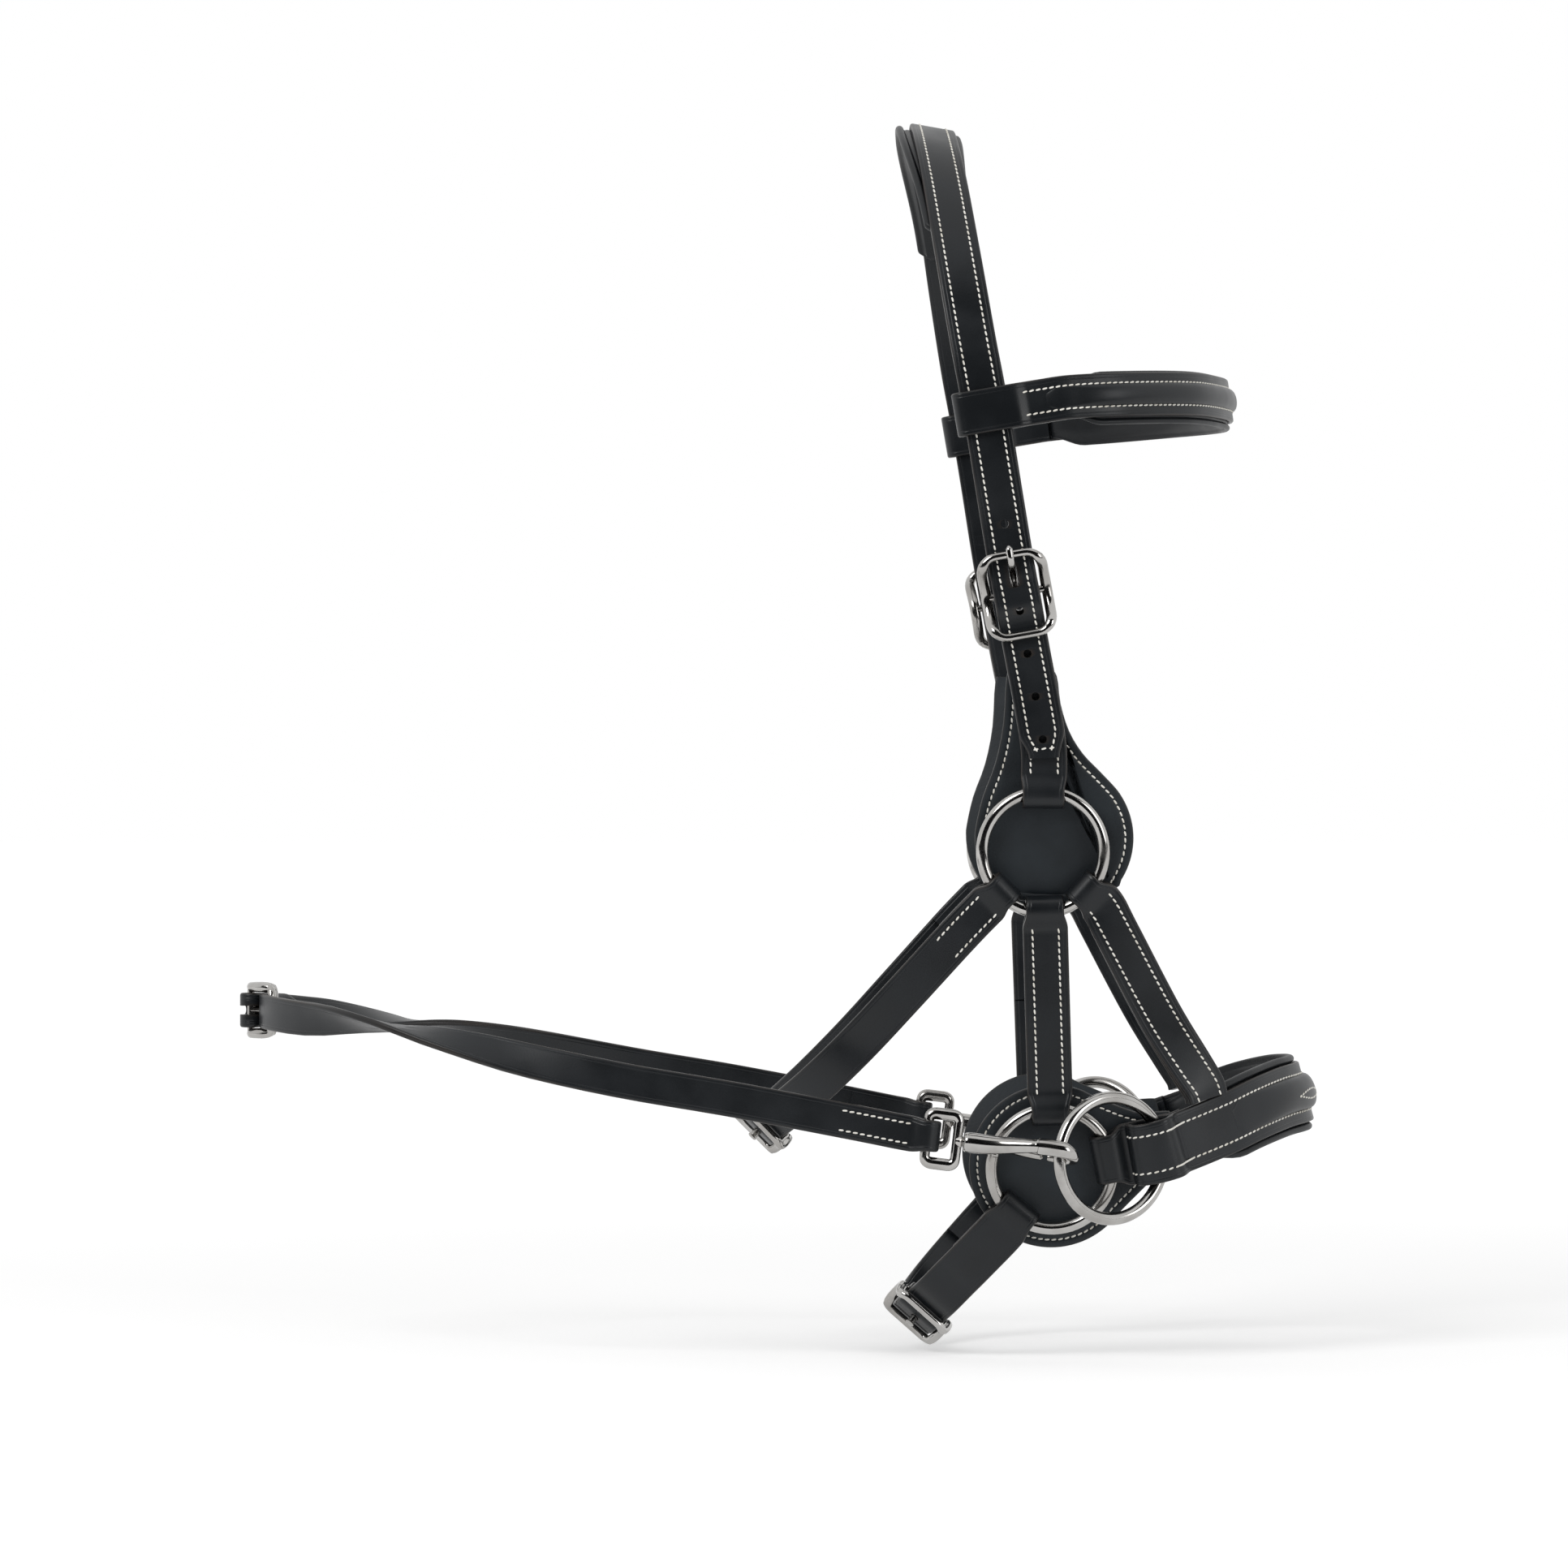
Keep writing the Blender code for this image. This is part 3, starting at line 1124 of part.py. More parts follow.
def main():
    clear_scene()
    head = head_route()
    nose = nose_route()
    brow = brow_route(head)
    jaw = cradle_route(UPPER_RING, JAW_LOOP_DEGREES, JAW_SHARES, UPPER_RING_HALF_SPAN, JAW_BACK, JAW_DROP,
                       JAW_BOW)
    chin = cradle_route(LOWER_RING, CHIN_LOOP_DEGREES, CHIN_SHARES, LOWER_RING_HALF_SPAN, CHIN_BACK, CHIN_DROP)
    hook = Hook(nose)
    rein = rein_route(hook)

    make_headpiece(head)
    make_poll_pad(head)
    make_browband(brow)
    make_noseband(nose)
    pairs = make_cheek_buckle(head)
    pairs.append(make_cheekpiece(head))
    pairs.append(make_cheek_safe())
    pairs.append(ring("near_upper_ring", UPPER_RING, OUT))
    pairs.append(make_side_strap())
    pairs.append(make_front_strap(nose))
    pairs.append(ring("near_lower_ring", LOWER_RING, OUT))
    pairs.append(make_lower_safe())
    pivot, away = rein_ring_place(nose)
    rein_ring = ring("near_rein_ring", pivot + away * RING_RADIUS, Z.cross(away))
    rein_ring.data.transform(Matrix.Translation(away * RING_RADIUS))
    rein_ring.location = pivot
    pairs.append(rein_ring)
    pairs += make_hook(hook)
    for piece in pairs:
        far_copy(piece)

    jaw_wires = (RING_WIRE_RADIUS, sagitta(JAW_FOLD_WIDTH / 2), JAW_FOLD_WIDTH / 2)
    make_buckled("jaw", jaw, JAW_WIDTH, jaw.length / 2 - JAW_BUCKLE_FROM_CENTRE, jaw_wires, JAW_TURN_BACK)
    chin_wires = (RING_WIRE_RADIUS, sagitta(CHIN_FOLD_WIDTH / 2), CHIN_FOLD_WIDTH / 2)
    chin_buckle = chin.length / 2 - CHIN_BUCKLE_FROM_CENTRE
    make_buckled("chin", chin, CHIN_WIDTH, chin_buckle, chin_wires, CHIN_TURN_BACK)
    rein_wires = (EYE_WIRE, 0, REIN_FOLD_WIDTH / 2)
    make_buckled("rein", rein, REIN_WIDTH, rein.length / 2, rein_wires, REIN_TURN_BACK, REIN_LEATHER)


PARTS = new_collection("sidepull_bridle")
CUTTERS = new_collection("cutters", hidden=True)
main()
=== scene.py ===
"""Dresses the sidepull bridle: leather, linings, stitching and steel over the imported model.

The frame is the model's own: metres, +Z up, +X towards the nose, the near side at -Y.
Every strap is a blank laid on a route: s runs along it, n stands out from it, a runs across.
"""

import bisect
import logging
import math
from dataclasses import dataclass, field
from enum import Enum
from typing import Callable, Iterable, Sequence

import bmesh
import bpy
from bpy.types import ID, Material, Node, NodeSocket, NodeTree, Object
from mathutils import Matrix, Vector


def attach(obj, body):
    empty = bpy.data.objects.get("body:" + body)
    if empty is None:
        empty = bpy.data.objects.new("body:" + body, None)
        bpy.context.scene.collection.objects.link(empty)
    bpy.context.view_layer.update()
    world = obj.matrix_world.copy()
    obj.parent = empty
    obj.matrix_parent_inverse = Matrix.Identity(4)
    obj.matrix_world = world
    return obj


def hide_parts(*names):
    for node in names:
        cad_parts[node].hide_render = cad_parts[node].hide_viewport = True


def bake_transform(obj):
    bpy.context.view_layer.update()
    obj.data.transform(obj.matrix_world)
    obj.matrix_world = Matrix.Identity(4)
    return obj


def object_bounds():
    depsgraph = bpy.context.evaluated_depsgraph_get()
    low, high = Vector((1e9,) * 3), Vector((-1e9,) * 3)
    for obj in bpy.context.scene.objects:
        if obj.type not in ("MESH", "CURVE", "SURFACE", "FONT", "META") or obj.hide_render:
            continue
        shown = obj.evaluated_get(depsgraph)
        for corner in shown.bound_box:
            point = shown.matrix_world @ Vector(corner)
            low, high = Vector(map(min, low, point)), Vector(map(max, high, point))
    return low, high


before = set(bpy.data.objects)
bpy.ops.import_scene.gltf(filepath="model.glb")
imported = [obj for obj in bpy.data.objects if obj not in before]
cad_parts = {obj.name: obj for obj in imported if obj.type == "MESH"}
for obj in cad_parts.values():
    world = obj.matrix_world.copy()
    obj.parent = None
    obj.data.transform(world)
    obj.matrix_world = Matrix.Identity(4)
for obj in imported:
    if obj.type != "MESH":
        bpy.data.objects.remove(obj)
CAD_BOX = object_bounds()

MM = 0.001
X = Vector((1, 0, 0))
Y = Vector((0, 1, 0))
Z = Vector((0, 0, 1))

LEATHER = 2.6 * MM
BILLET_LEATHER = 3.0 * MM
SAFE_LEATHER = 3.0 * MM
SEAM = 0.3 * MM
CLEARANCE = 0.3 * MM
LOOP_PLAY = 0.45 * MM
RING_WIRE = 2.75 * MM
RING_RADIUS = 26.35 * MM
BUCKLE_WIRE = 1.8 * MM
BUCKLE_BAR = 1.6 * MM
LEAD_OUT = 9.0 * MM
TAPER = 7.0 * MM
ROW_INSET = 4.1 * MM
END_GAP = 0.3 * MM
LINING_SEAT = 0.15 * MM
ROLL_SEAT = 0.1 * MM
DRIVE = 12 * MM
HOLE_LENGTH = 0.2 * MM
ROUTE_STEPS = 16
LAY_STEP = 1.8 * MM
FOLD_STEPS = 18
REACH_STEPS = 6
DOME_STEPS = 16
DOME_POWER = 0.85
PIPING = 1.7 * MM
SHARP_ANGLE = math.radians(42)

Profile = list[tuple[float, float]]
Row = list[tuple[Vector, Vector]]
Colour = tuple[float, float, float]
Inputs = dict[str | int, object]
log = logging.getLogger("bridle")


class Body(Enum):
    """The bodies that pieces ride on."""

    BRIDLE = "bridle"
    BROWBAND = "browband"
    JAW = "jaw"
    CHIN = "chin"
    NEAR_TONGUE = "near_tongue"
    NEAR_RING = "near_rein_ring"
    NEAR_GATE = "near_gate"
    FAR_TONGUE = "far_tongue"
    FAR_RING = "far_rein_ring"
    FAR_GATE = "far_gate"


class Slot(Enum):
    """The material slots: leather, lining and steel."""

    LEATHER = "leather"
    LINING = "lining"
    STEEL = "steel"


# Nodes


def fill(tree: NodeTree, node: Node, inputs: Inputs) -> Node:
    """Fills a node's inputs.

    Args:
        tree: the node's tree.
        node: the node.
        inputs: a value or another node's output socket for each input.

    Returns:
        The node.
    """
    for key, value in inputs.items():
        if isinstance(value, NodeSocket):
            tree.links.new(value, node.inputs[key])
        else:
            node.inputs[key].default_value = value
    return node


def add_node(tree: NodeTree, kind: str, inputs: Inputs, **settings: object) -> Node:
    """Adds a node to a tree.

    Args:
        tree: the shader or geometry tree.
        kind: the node's type.
        inputs: what its inputs get.
        settings: the node's own settings.

    Returns:
        The node.
    """
    node = tree.nodes.new(kind)
    for key, value in settings.items():
        setattr(node, key, value)
    return fill(tree, node, inputs)


def math_node(tree: NodeTree, operation: str, *values: object) -> NodeSocket:
    """Adds a Math node, and gives its output."""
    return add_node(tree, "ShaderNodeMath", dict(enumerate(values)), operation=operation).outputs[0]


def ranged(tree: NodeTree, value: NodeSocket, low: float, high: float,
           to_low: float, to_high: float) -> NodeSocket:
    """Adds a smooth Map Range node from low..high to to_low..to_high, and gives its output."""
    inputs = {"Value": value, "From Min": low, "From Max": high, "To Min": to_low, "To Max": to_high}
    return add_node(tree, "ShaderNodeMapRange", inputs, interpolation_type="SMOOTHSTEP").outputs["Result"]


def noise(tree: NodeTree, place: NodeSocket, scale: object,
          detail: float = 2.0) -> NodeSocket:
    """Adds a noise texture, and gives its grey output."""
    inputs = {"Vector": place, "Scale": scale, "Detail": detail}
    return add_node(tree, "ShaderNodeTexNoise", inputs).outputs["Fac"]


def mixed(tree: NodeTree, share: NodeSocket, low: object,
          high: Colour) -> NodeSocket:
    """Mixes two colours.

    Args:
        tree: the node tree.
        share: how much of the second.
        low: the first colour, or a socket.
        high: the second colour.

    Returns:
        The colour output.
    """
    first = low if isinstance(low, NodeSocket) else (*low, 1)
    inputs = {"Factor": share, 6: first, 7: (*high, 1)}
    return add_node(tree, "ShaderNodeMix", inputs, data_type="RGBA").outputs[2]


def roughen(tree: NodeTree, shader: Node, height: NodeSocket,
            strength: float, distance: float) -> None:
    """Puts a bump on a shader."""
    bump = add_node(tree, "ShaderNodeBump", {"Strength": strength, "Distance": distance, "Height": height})
    tree.links.new(bump.outputs["Normal"], shader.inputs["Normal"])


def on_object(tree: NodeTree) -> NodeSocket:
    """The Object coordinates."""
    return tree.nodes.new("ShaderNodeTexCoord").outputs["Object"]


def new_group(name: str, inputs: dict[str, float | None], outputs: Sequence[str]) -> NodeTree:
    """Starts a shader node group.

    Args:
        name: the group's name.
        inputs: the default of each float input, or None for a vector.
        outputs: names of the float outputs.

    Returns:
        The empty group with its sockets.
    """
    tree = bpy.data.node_groups.new(name, "ShaderNodeTree")
    for label, value in inputs.items():
        kind = "NodeSocketVector" if value is None else "NodeSocketFloat"
        socket = tree.interface.new_socket(label, in_out="INPUT", socket_type=kind)
        if value is not None:
            socket.default_value = value
    for label in outputs:
        tree.interface.new_socket(label, in_out="OUTPUT", socket_type="NodeSocketFloat")
    tree.nodes.new("NodeGroupInput")
    tree.nodes.new("NodeGroupOutput")
    return tree


def grain_group() -> NodeTree:
    """Leather grain: pebbles with fine pores, and a slow mottle.

    Returns:
        A group with Position and Size in, Height and Mottle out.
    """
    tree = new_group("leather_grain", {"Position": None, "Size": 0.8}, ["Height", "Mottle"])
    given = tree.nodes["Group Input"].outputs
    place, scale = given["Position"], math_node(tree, "DIVIDE", 1000.0, given["Size"])
    pebbles = add_node(tree, "ShaderNodeTexVoronoi", {"Vector": place, "Scale": scale}, feature="SMOOTH_F1")
    pores = math_node(tree, "MULTIPLY", noise(tree, place, scale, 4.0), 0.55)
    fill(tree, tree.nodes["Group Output"],
         {"Height": math_node(tree, "ADD", pebbles.outputs["Distance"], pores),
          "Mottle": noise(tree, place, 38.0, 3.0)})
    return tree


def edge_group() -> NodeTree:
    """The pressed crease beside a strap's edge, and the wear on the edge itself.

    Returns:
        A group with Edge, Crease and Reach, in metres, and Mottle in, and Groove and Wear out.
    """
    tree = new_group("strap_edge", {"Edge": 1.0, "Crease": 0.002, "Reach": 0.001, "Mottle": 0.5},
                     ["Groove", "Wear"])
    given = tree.nodes["Group Input"].outputs
    gap = math_node(tree, "ABSOLUTE", math_node(tree, "SUBTRACT", given["Edge"], given["Crease"]))
    rim = ranged(tree, math_node(tree, "DIVIDE", given["Edge"], given["Reach"]), 0.0, 1.0, 1.0, 0.0)
    patchy = ranged(tree, given["Mottle"], 0.35, 0.65, 0.35, 1.0)
    fill(tree, tree.nodes["Group Output"],
         {"Groove": ranged(tree, gap, 0.0, 0.45 * MM, 1.0, 0.0),
          "Wear": math_node(tree, "MULTIPLY", rim, patchy)})
    return tree


GRAIN = grain_group()
STRAP_EDGE = edge_group()


# Finishes


def start_material(name: str) -> tuple[Material, NodeTree, Node]:
    """Starts a material with nodes.

    Args:
        name: the material's name.

    Returns:
        The material, its tree and its Principled shader.
    """
    material = bpy.data.materials.new(name)
    material.use_nodes = True
    return material, material.node_tree, material.node_tree.nodes["Principled BSDF"]


@dataclass(frozen=True)
class LeatherFinish:
    """A leather: its colours, gloss, grain and what its edges show."""

    name: str
    base: Colour
    lifted: Colour
    worn: Colour
    roughness: tuple[float, float]
    grain_size: float
    grain_depth: float
    crease: float = 1.0
    crease_depth: float = 0.0
    coat: float = 0.0
    shine: float = 0.32
    coat_roughness: float = 0.28
    wear_reach: float = 1.1 * MM

    def material(self) -> Material:
        """Builds the node material.

        Returns:
            The leather's material.
        """
        made, tree, shader = start_material(self.name)
        grain = add_node(tree, "ShaderNodeGroup", {"Position": on_object(tree), "Size": self.grain_size},
                         node_tree=GRAIN).outputs
        mottle = grain["Mottle"]
        edge = add_node(tree, "ShaderNodeAttribute", {}, attribute_name="edge").outputs["Fac"]
        rim = add_node(tree, "ShaderNodeGroup", {"Edge": edge, "Mottle": mottle, "Crease": self.crease,
                                                 "Reach": self.wear_reach}, node_tree=STRAP_EDGE).outputs
        shade = mixed(tree, ranged(tree, mottle, 0.3, 0.7, 0.0, 1.0), self.base, self.lifted)
        pressed = math_node(tree, "MULTIPLY", rim["Groove"], -self.crease_depth)
        height = math_node(tree, "MULTIPLY", grain["Height"], self.grain_depth)
        roughen(tree, shader, math_node(tree, "ADD", pressed, height), 1.0, MM)
        fill(tree, shader, {"Base Color": mixed(tree, rim["Wear"], shade, self.worn),
                            "Roughness": ranged(tree, mottle, 0.3, 0.7, *self.roughness),
                            "Specular IOR Level": self.shine, "Coat Weight": self.coat,
                            "Coat Roughness": self.coat_roughness})
        return made


@dataclass(frozen=True)
class SteelFinish:
    """Polished steel with faint wipe marks."""

    name: str
    base: Colour
    toned: Colour
    roughness: tuple[float, float]
    cloud_scale: float = 55.0
    mark_scale: float = 900.0
    mark_depth: float = 0.1 * MM

    def material(self) -> Material:
        """Builds the node material.

        Returns:
            The steel's material.
        """
        made, tree, shader = start_material(self.name)
        place = on_object(tree)
        cloud = noise(tree, place, self.cloud_scale, 3.0)
        tone = ranged(tree, cloud, 0.35, 0.65, 0.0, 1.0)
        roughen(tree, shader, noise(tree, place, self.mark_scale), 0.05, self.mark_depth)
        fill(tree, shader, {"Base Color": mixed(tree, tone, self.base, self.toned), "Metallic": 1.0,
                            "Roughness": ranged(tree, cloud, 0.35, 0.65, *self.roughness)})
        return made


@dataclass(frozen=True)
class ThreadFinish:
    """Waxed off-white thread."""

    name: str
    base: Colour
    soiled: Colour
    roughness: float = 0.62
    tint_scale: float = 120.0
    fibre_scale: float = 2600.0
    fibre_depth: float = 0.2 * MM

    def material(self) -> Material:
        """Builds the node material.

        Returns:
            The thread's material.
        """
        made, tree, shader = start_material(self.name)
        place = on_object(tree)
        share = ranged(tree, noise(tree, place, self.tint_scale), 0.4, 0.7, 0.0, 1.0)
        roughen(tree, shader, noise(tree, place, self.fibre_scale), 0.6, self.fibre_depth)
        fill(tree, shader, {"Base Color": mixed(tree, share, self.base, self.soiled),
                            "Roughness": self.roughness})
        return made


BRIDLE_LEATHER = LeatherFinish("black_bridle_leather", (0.0062, 0.0076, 0.0092), (0.0092, 0.0112, 0.0136),
                               (0.020, 0.016, 0.0135), (0.30, 0.42), 0.55, 0.020, 2.0 * MM, 0.10,
                               0.04).material()
SAFE_FINISH = LeatherFinish("black_safe_leather", (0.0095, 0.0125, 0.0155), (0.015, 0.020, 0.0245),
                            (0.020, 0.019, 0.018), (0.46, 0.58), 0.8, 0.035).material()
LINING_FINISH = LeatherFinish("black_lining_leather", (0.0062, 0.0074, 0.0088), (0.0095, 0.0112, 0.0132),
                              (0.016, 0.0145, 0.0135), (0.38, 0.50), 0.7, 0.030, shine=0.30).material()
STEEL = SteelFinish("polished_steel", (0.47, 0.462, 0.448), (0.36, 0.348, 0.332), (0.11, 0.20)).material()
THREAD = ThreadFinish("off_white_thread", (0.80, 0.78, 0.72), (0.62, 0.59, 0.52)).material()


# Meshes


def new_object(name: str, data: ID | None) -> Object:
    """Makes an object and puts it in the scene.

    Args:
        name: its name.
        data: its mesh, camera or lamp.

    Returns:
        The object.
    """
    obj = bpy.data.objects.new(name, data)
    bpy.context.scene.collection.objects.link(obj)
    return obj


def settled(obj: Object) -> Object:
    """Turns what an object's modifiers make into its plain mesh.

    Args:
        obj: the object.

    Returns:
        The same object, without modifiers.
    """
    bpy.context.view_layer.update()
    graph = bpy.context.evaluated_depsgraph_get()
    done = bpy.data.meshes.new_from_object(obj.evaluated_get(graph))
    obj.modifiers.clear()
    obj.data = done
    return obj


def skin(name: str, rings: Sequence[Sequence[Vector]], material: Material, cyclic: bool = False,
         edge: Sequence[Sequence[float]] | None = None) -> Object:
    """Covers a row of closed sections, and caps its two ends. Faces look outwards.

    Args:
        name: the piece's name.
        rings: the sections, each with as many points.
        material: the finish.
        cyclic: whether the last section joins the first.
        edge: distance from the piece's edge for each point, where the finish reads that.

    Returns:
        The new object.
    """
    count = len(rings[0])
    faces: list[list[int]] = []
    for i in range(len(rings) - (0 if cyclic else 1)):
        here, there = i * count, (i + 1) % len(rings) * count
        faces += [[here + j, here + k, there + k, there + j]
                  for j, k in ((j, (j + 1) % count) for j in range(count))]
    if not cyclic:
        faces += [list(range(count)), [(len(rings) - 1) * count + j for j in range(count)]]
    mesh = bpy.data.meshes.new(name)
    mesh.from_pydata([tuple(point) for ring in rings for point in ring], [], faces)
    layer = mesh.attributes.new("edge", "FLOAT", "POINT")
    layer.data.foreach_set("value", [value for ring in edge for value in ring] if edge is not None
                           else [1.0] * (len(rings) * count))
    work = bmesh.new()
    work.from_mesh(mesh)
    bmesh.ops.recalc_face_normals(work, faces=work.faces)
    work.to_mesh(mesh)
    work.free()
    mesh.shade_smooth()
    mesh.set_sharp_from_angle(angle=SHARP_ANGLE)
    mesh.materials.append(material)
    return new_object(name, mesh)


def sweep(name: str, line: Sequence[Vector], normals: Sequence[Vector] | Vector,
          sizes: Sequence[tuple[float, float]] | float, material: Material,
          cyclic: bool = False, sides: int = 20) -> Object:
    """Runs an oval section along a line.

    Args:
        name: the piece's name.
        line: the centre line.
        normals: a direction square to the line or nearly so, one for all points or one for each.
        sizes: half size across and half size along the normal for each point, or one radius.
        material: the finish.
        cyclic: whether the line closes.
        sides: points round the section.

    Returns:
        The new object.
    """
    rings = []
    last = len(line) - 1
    for i, point in enumerate(line):
        before = line[i - 1] if i or cyclic else line[0]
        after = line[(i + 1) % len(line)] if i < last or cyclic else line[last]
        along = (after - before).normalized()
        normal = normals if isinstance(normals, Vector) else normals[i]
        up = (normal - along * normal.dot(along)).normalized()
        aside = along.cross(up)
        wide, high = (sizes, sizes) if isinstance(sizes, float) else sizes[i]
        angles = [math.tau * j / sides for j in range(sides)]
        rings.append([point + aside * wide * math.cos(turn) + up * high * math.sin(turn) for turn in angles])
    return skin(name, rings, material, cyclic)


def lathed(name: str, shape: Profile, place: Callable[[float], Vector], normal: Vector) -> Object:
    """A round steel part.

    Args:
        name: its name.
        shape: distances along it with the radius there in millimetres.
        place: the point for a distance.
        normal: a direction square to it.

    Returns:
        The part.
    """
    sizes = [(radius * MM, radius * MM) for _, radius in shape]
    return sweep(name, [place(s) for s, _ in shape], normal, sizes, STEEL)


def joined(pieces: Sequence[Object]) -> Object:
    """Joins pieces into the first.

    Args:
        pieces: two or more meshes of one finish.

    Returns:
        The first, with the others' shapes in it.
    """
    work = bmesh.new()
    for piece in pieces:
        work.from_mesh(piece.data)
    work.to_mesh(pieces[0].data)
    work.free()
    for piece in pieces[1:]:
        bpy.data.objects.remove(piece)
    return pieces[0]


def far_name(name: str) -> str:
    """A near thing's name on the far side."""
    return name.replace("near_", "far_")


def mirrored(obj: Object) -> Object:
    """The far side's piece, as a mesh of its own.

    Args:
        obj: the near side's piece.

    Returns:
        The mirrored object.
    """
    mesh = obj.data.copy()
    work = bmesh.new()
    work.from_mesh(mesh)
    work.transform(Matrix.Scale(-1, 4, Y))
    bmesh.ops.reverse_faces(work, faces=work.faces)
    work.to_mesh(mesh)
    work.free()
    return new_object(far_name(obj.name), mesh)


def cut(obj: Object, cutters: Iterable[Object]) -> Object:
    """Cuts holes through a piece, and removes the cutters.

    Args:
        obj: the piece.
        cutters: closed shapes that don't touch each other.

    Returns:
        The piece with its holes.
    """
    cutter = joined(list(cutters))
    step = obj.modifiers.new("holes", "BOOLEAN")
    step.operation = "DIFFERENCE"
    step.object = cutter
    settled(obj).data.set_sharp_from_angle(angle=SHARP_ANGLE)
    bpy.data.objects.remove(cutter)
    return obj


def stitch_tree() -> NodeTree:
    """Geometry Nodes that sew blunt stitches along rows of edges.

    Returns:
        A tree with Rows, Pitch, Length, Width, Height, Lean, Seed and Thread in, Stitches out.
    """
    tree = bpy.data.node_groups.new("saddle_stitches", "GeometryNodeTree")
    kinds = {"Rows": "Geometry", "Pitch": "Float", "Length": "Float", "Width": "Float", "Height": "Float",
             "Lean": "Float", "Seed": "Int", "Thread": "Material"}
    for label, kind in kinds.items():
        tree.interface.new_socket(label, in_out="INPUT", socket_type=f"NodeSocket{kind}")
    tree.interface.new_socket("Stitches", in_out="OUTPUT", socket_type="NodeSocketGeometry")

    def add(kind: str, output: str | int, inputs: Inputs, **settings: object) -> NodeSocket:
        """Adds a node, and gives one of its outputs."""
        return add_node(tree, kind, inputs, **settings).outputs[output]

    given = tree.nodes.new("NodeGroupInput").outputs
    curve = add("GeometryNodeMeshToCurve", "Curve", {"Mesh": given["Rows"]})
    spaced = add("GeometryNodeResampleCurve", "Curve", {"Curve": curve, "Length": given["Pitch"]},
                 mode="LENGTH")
    blank = add("GeometryNodeMeshIcoSphere", "Mesh", {"Subdivisions": 2})
    place = add("GeometryNodeInputPosition", "Position", {})
    split = add_node(tree, "ShaderNodeSeparateXYZ", {"Vector": place}).outputs
    size = math_node(tree, "POWER", math_node(tree, "ABSOLUTE", split["X"]), 0.6)
    signed = math_node(tree, "MULTIPLY", size, math_node(tree, "SIGN", split["X"]))
    blunt = add("ShaderNodeCombineXYZ", "Vector", {"X": signed, "Y": split["Y"], "Z": split["Z"]})
    shaped = add("GeometryNodeSetPosition", "Geometry", {"Geometry": blank, "Position": blunt})
    facing = add("GeometryNodeInputNamedAttribute", "Attribute", {"Name": "out"}, data_type="FLOAT_VECTOR")
    upright = add("FunctionNodeAlignRotationToVector", "Rotation", {"Vector": facing}, axis="Z")
    tangent = add("GeometryNodeInputTangent", "Tangent", {})
    laid = add("FunctionNodeAlignRotationToVector", "Rotation", {"Rotation": upright, "Vector": tangent},
               axis="X", pivot_axis="Z")
    jitter = add("FunctionNodeRandomValue", 1, {2: -0.05, 3: 0.05, "Seed": given["Seed"]}, data_type="FLOAT")
    twist = add("FunctionNodeAxisAngleToRotation", "Rotation",
                {"Axis": (0, 0, 1), "Angle": math_node(tree, "ADD", given["Lean"], jitter)})
    way = add("FunctionNodeRotateRotation", "Rotation", {"Rotation": laid, "Rotate By": twist},
              rotation_space="LOCAL")
    halves = {axis: math_node(tree, "MULTIPLY", given[label], 0.5)
              for label, axis in (("Length", "X"), ("Width", "Y"), ("Height", "Z"))}
    scale = add("ShaderNodeCombineXYZ", "Vector", halves)
    sewn = add("GeometryNodeInstanceOnPoints", "Instances",
               {"Points": spaced, "Instance": shaped, "Rotation": way, "Scale": scale})
    real = add("GeometryNodeRealizeInstances", "Geometry", {"Geometry": sewn})
    soft = add("GeometryNodeSetShadeSmooth", "Geometry", {"Geometry": real})
    thread = add("GeometryNodeSetMaterial", "Geometry", {"Geometry": soft, "Material": given["Thread"]})
    add_node(tree, "NodeGroupOutput", {"Stitches": thread})
    return tree


STITCHES = stitch_tree()


@dataclass
class Needle:
    """Sews rows of saddle stitches."""

    pitch: float = 2.9 * MM
    length: float = 2.25 * MM
    width: float = 0.85 * MM
    height: float = 0.62 * MM
    lean: float = 0.14
    seed: int = 5

    def sew(self, name: str, rows: Sequence[Row]) -> Object:
        """Sews all the rows of one piece.

        Args:
            name: the piece's name.
            rows: each row's points on the leather, with the way out there.

        Returns:
            The stitches as one plain mesh.
        """
        mesh = bpy.data.meshes.new(name)
        edges = []
        start = 0
        for row in rows:
            edges += [(start + i, start + i + 1) for i in range(len(row) - 1)]
            start += len(row)
        mesh.from_pydata([tuple(point) for row in rows for point, _ in row], edges, [])
        layer = mesh.attributes.new("out", "FLOAT_VECTOR", "POINT")
        layer.data.foreach_set("vector", [value for row in rows for _, out in row for value in out])
        obj = new_object(name, mesh)
        step = obj.modifiers.new("stitches", "NODES")
        step.node_group = STITCHES
        values = {"Pitch": self.pitch, "Length": self.length, "Width": self.width, "Height": self.height,
                  "Lean": self.lean, "Seed": self.seed, "Thread": THREAD}
        for item in STITCHES.interface.items_tree:
            if item.item_type == "SOCKET" and item.in_out == "INPUT" and item.name in values:
                step[item.identifier] = values[item.name]
        return settled(obj)


NEEDLE = Needle()


def show(piece: Object, body: Body | None, slot: Slot, *nodes: str) -> Object:
    """Puts a finished piece on its body, and hides the CAD nodes that it replaces.

    Args:
        piece: the piece.
        body: the body it rides on, or None to leave it unattached.
        slot: not used.
        nodes: the CAD nodes that it replaces.

    Returns:
        The piece.
    """
    if body is not None:
        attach(piece, body.value)
    if nodes:
        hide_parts(*nodes)
    log.info("%s: %d faces", piece.name, len(piece.data.polygons))
    return piece


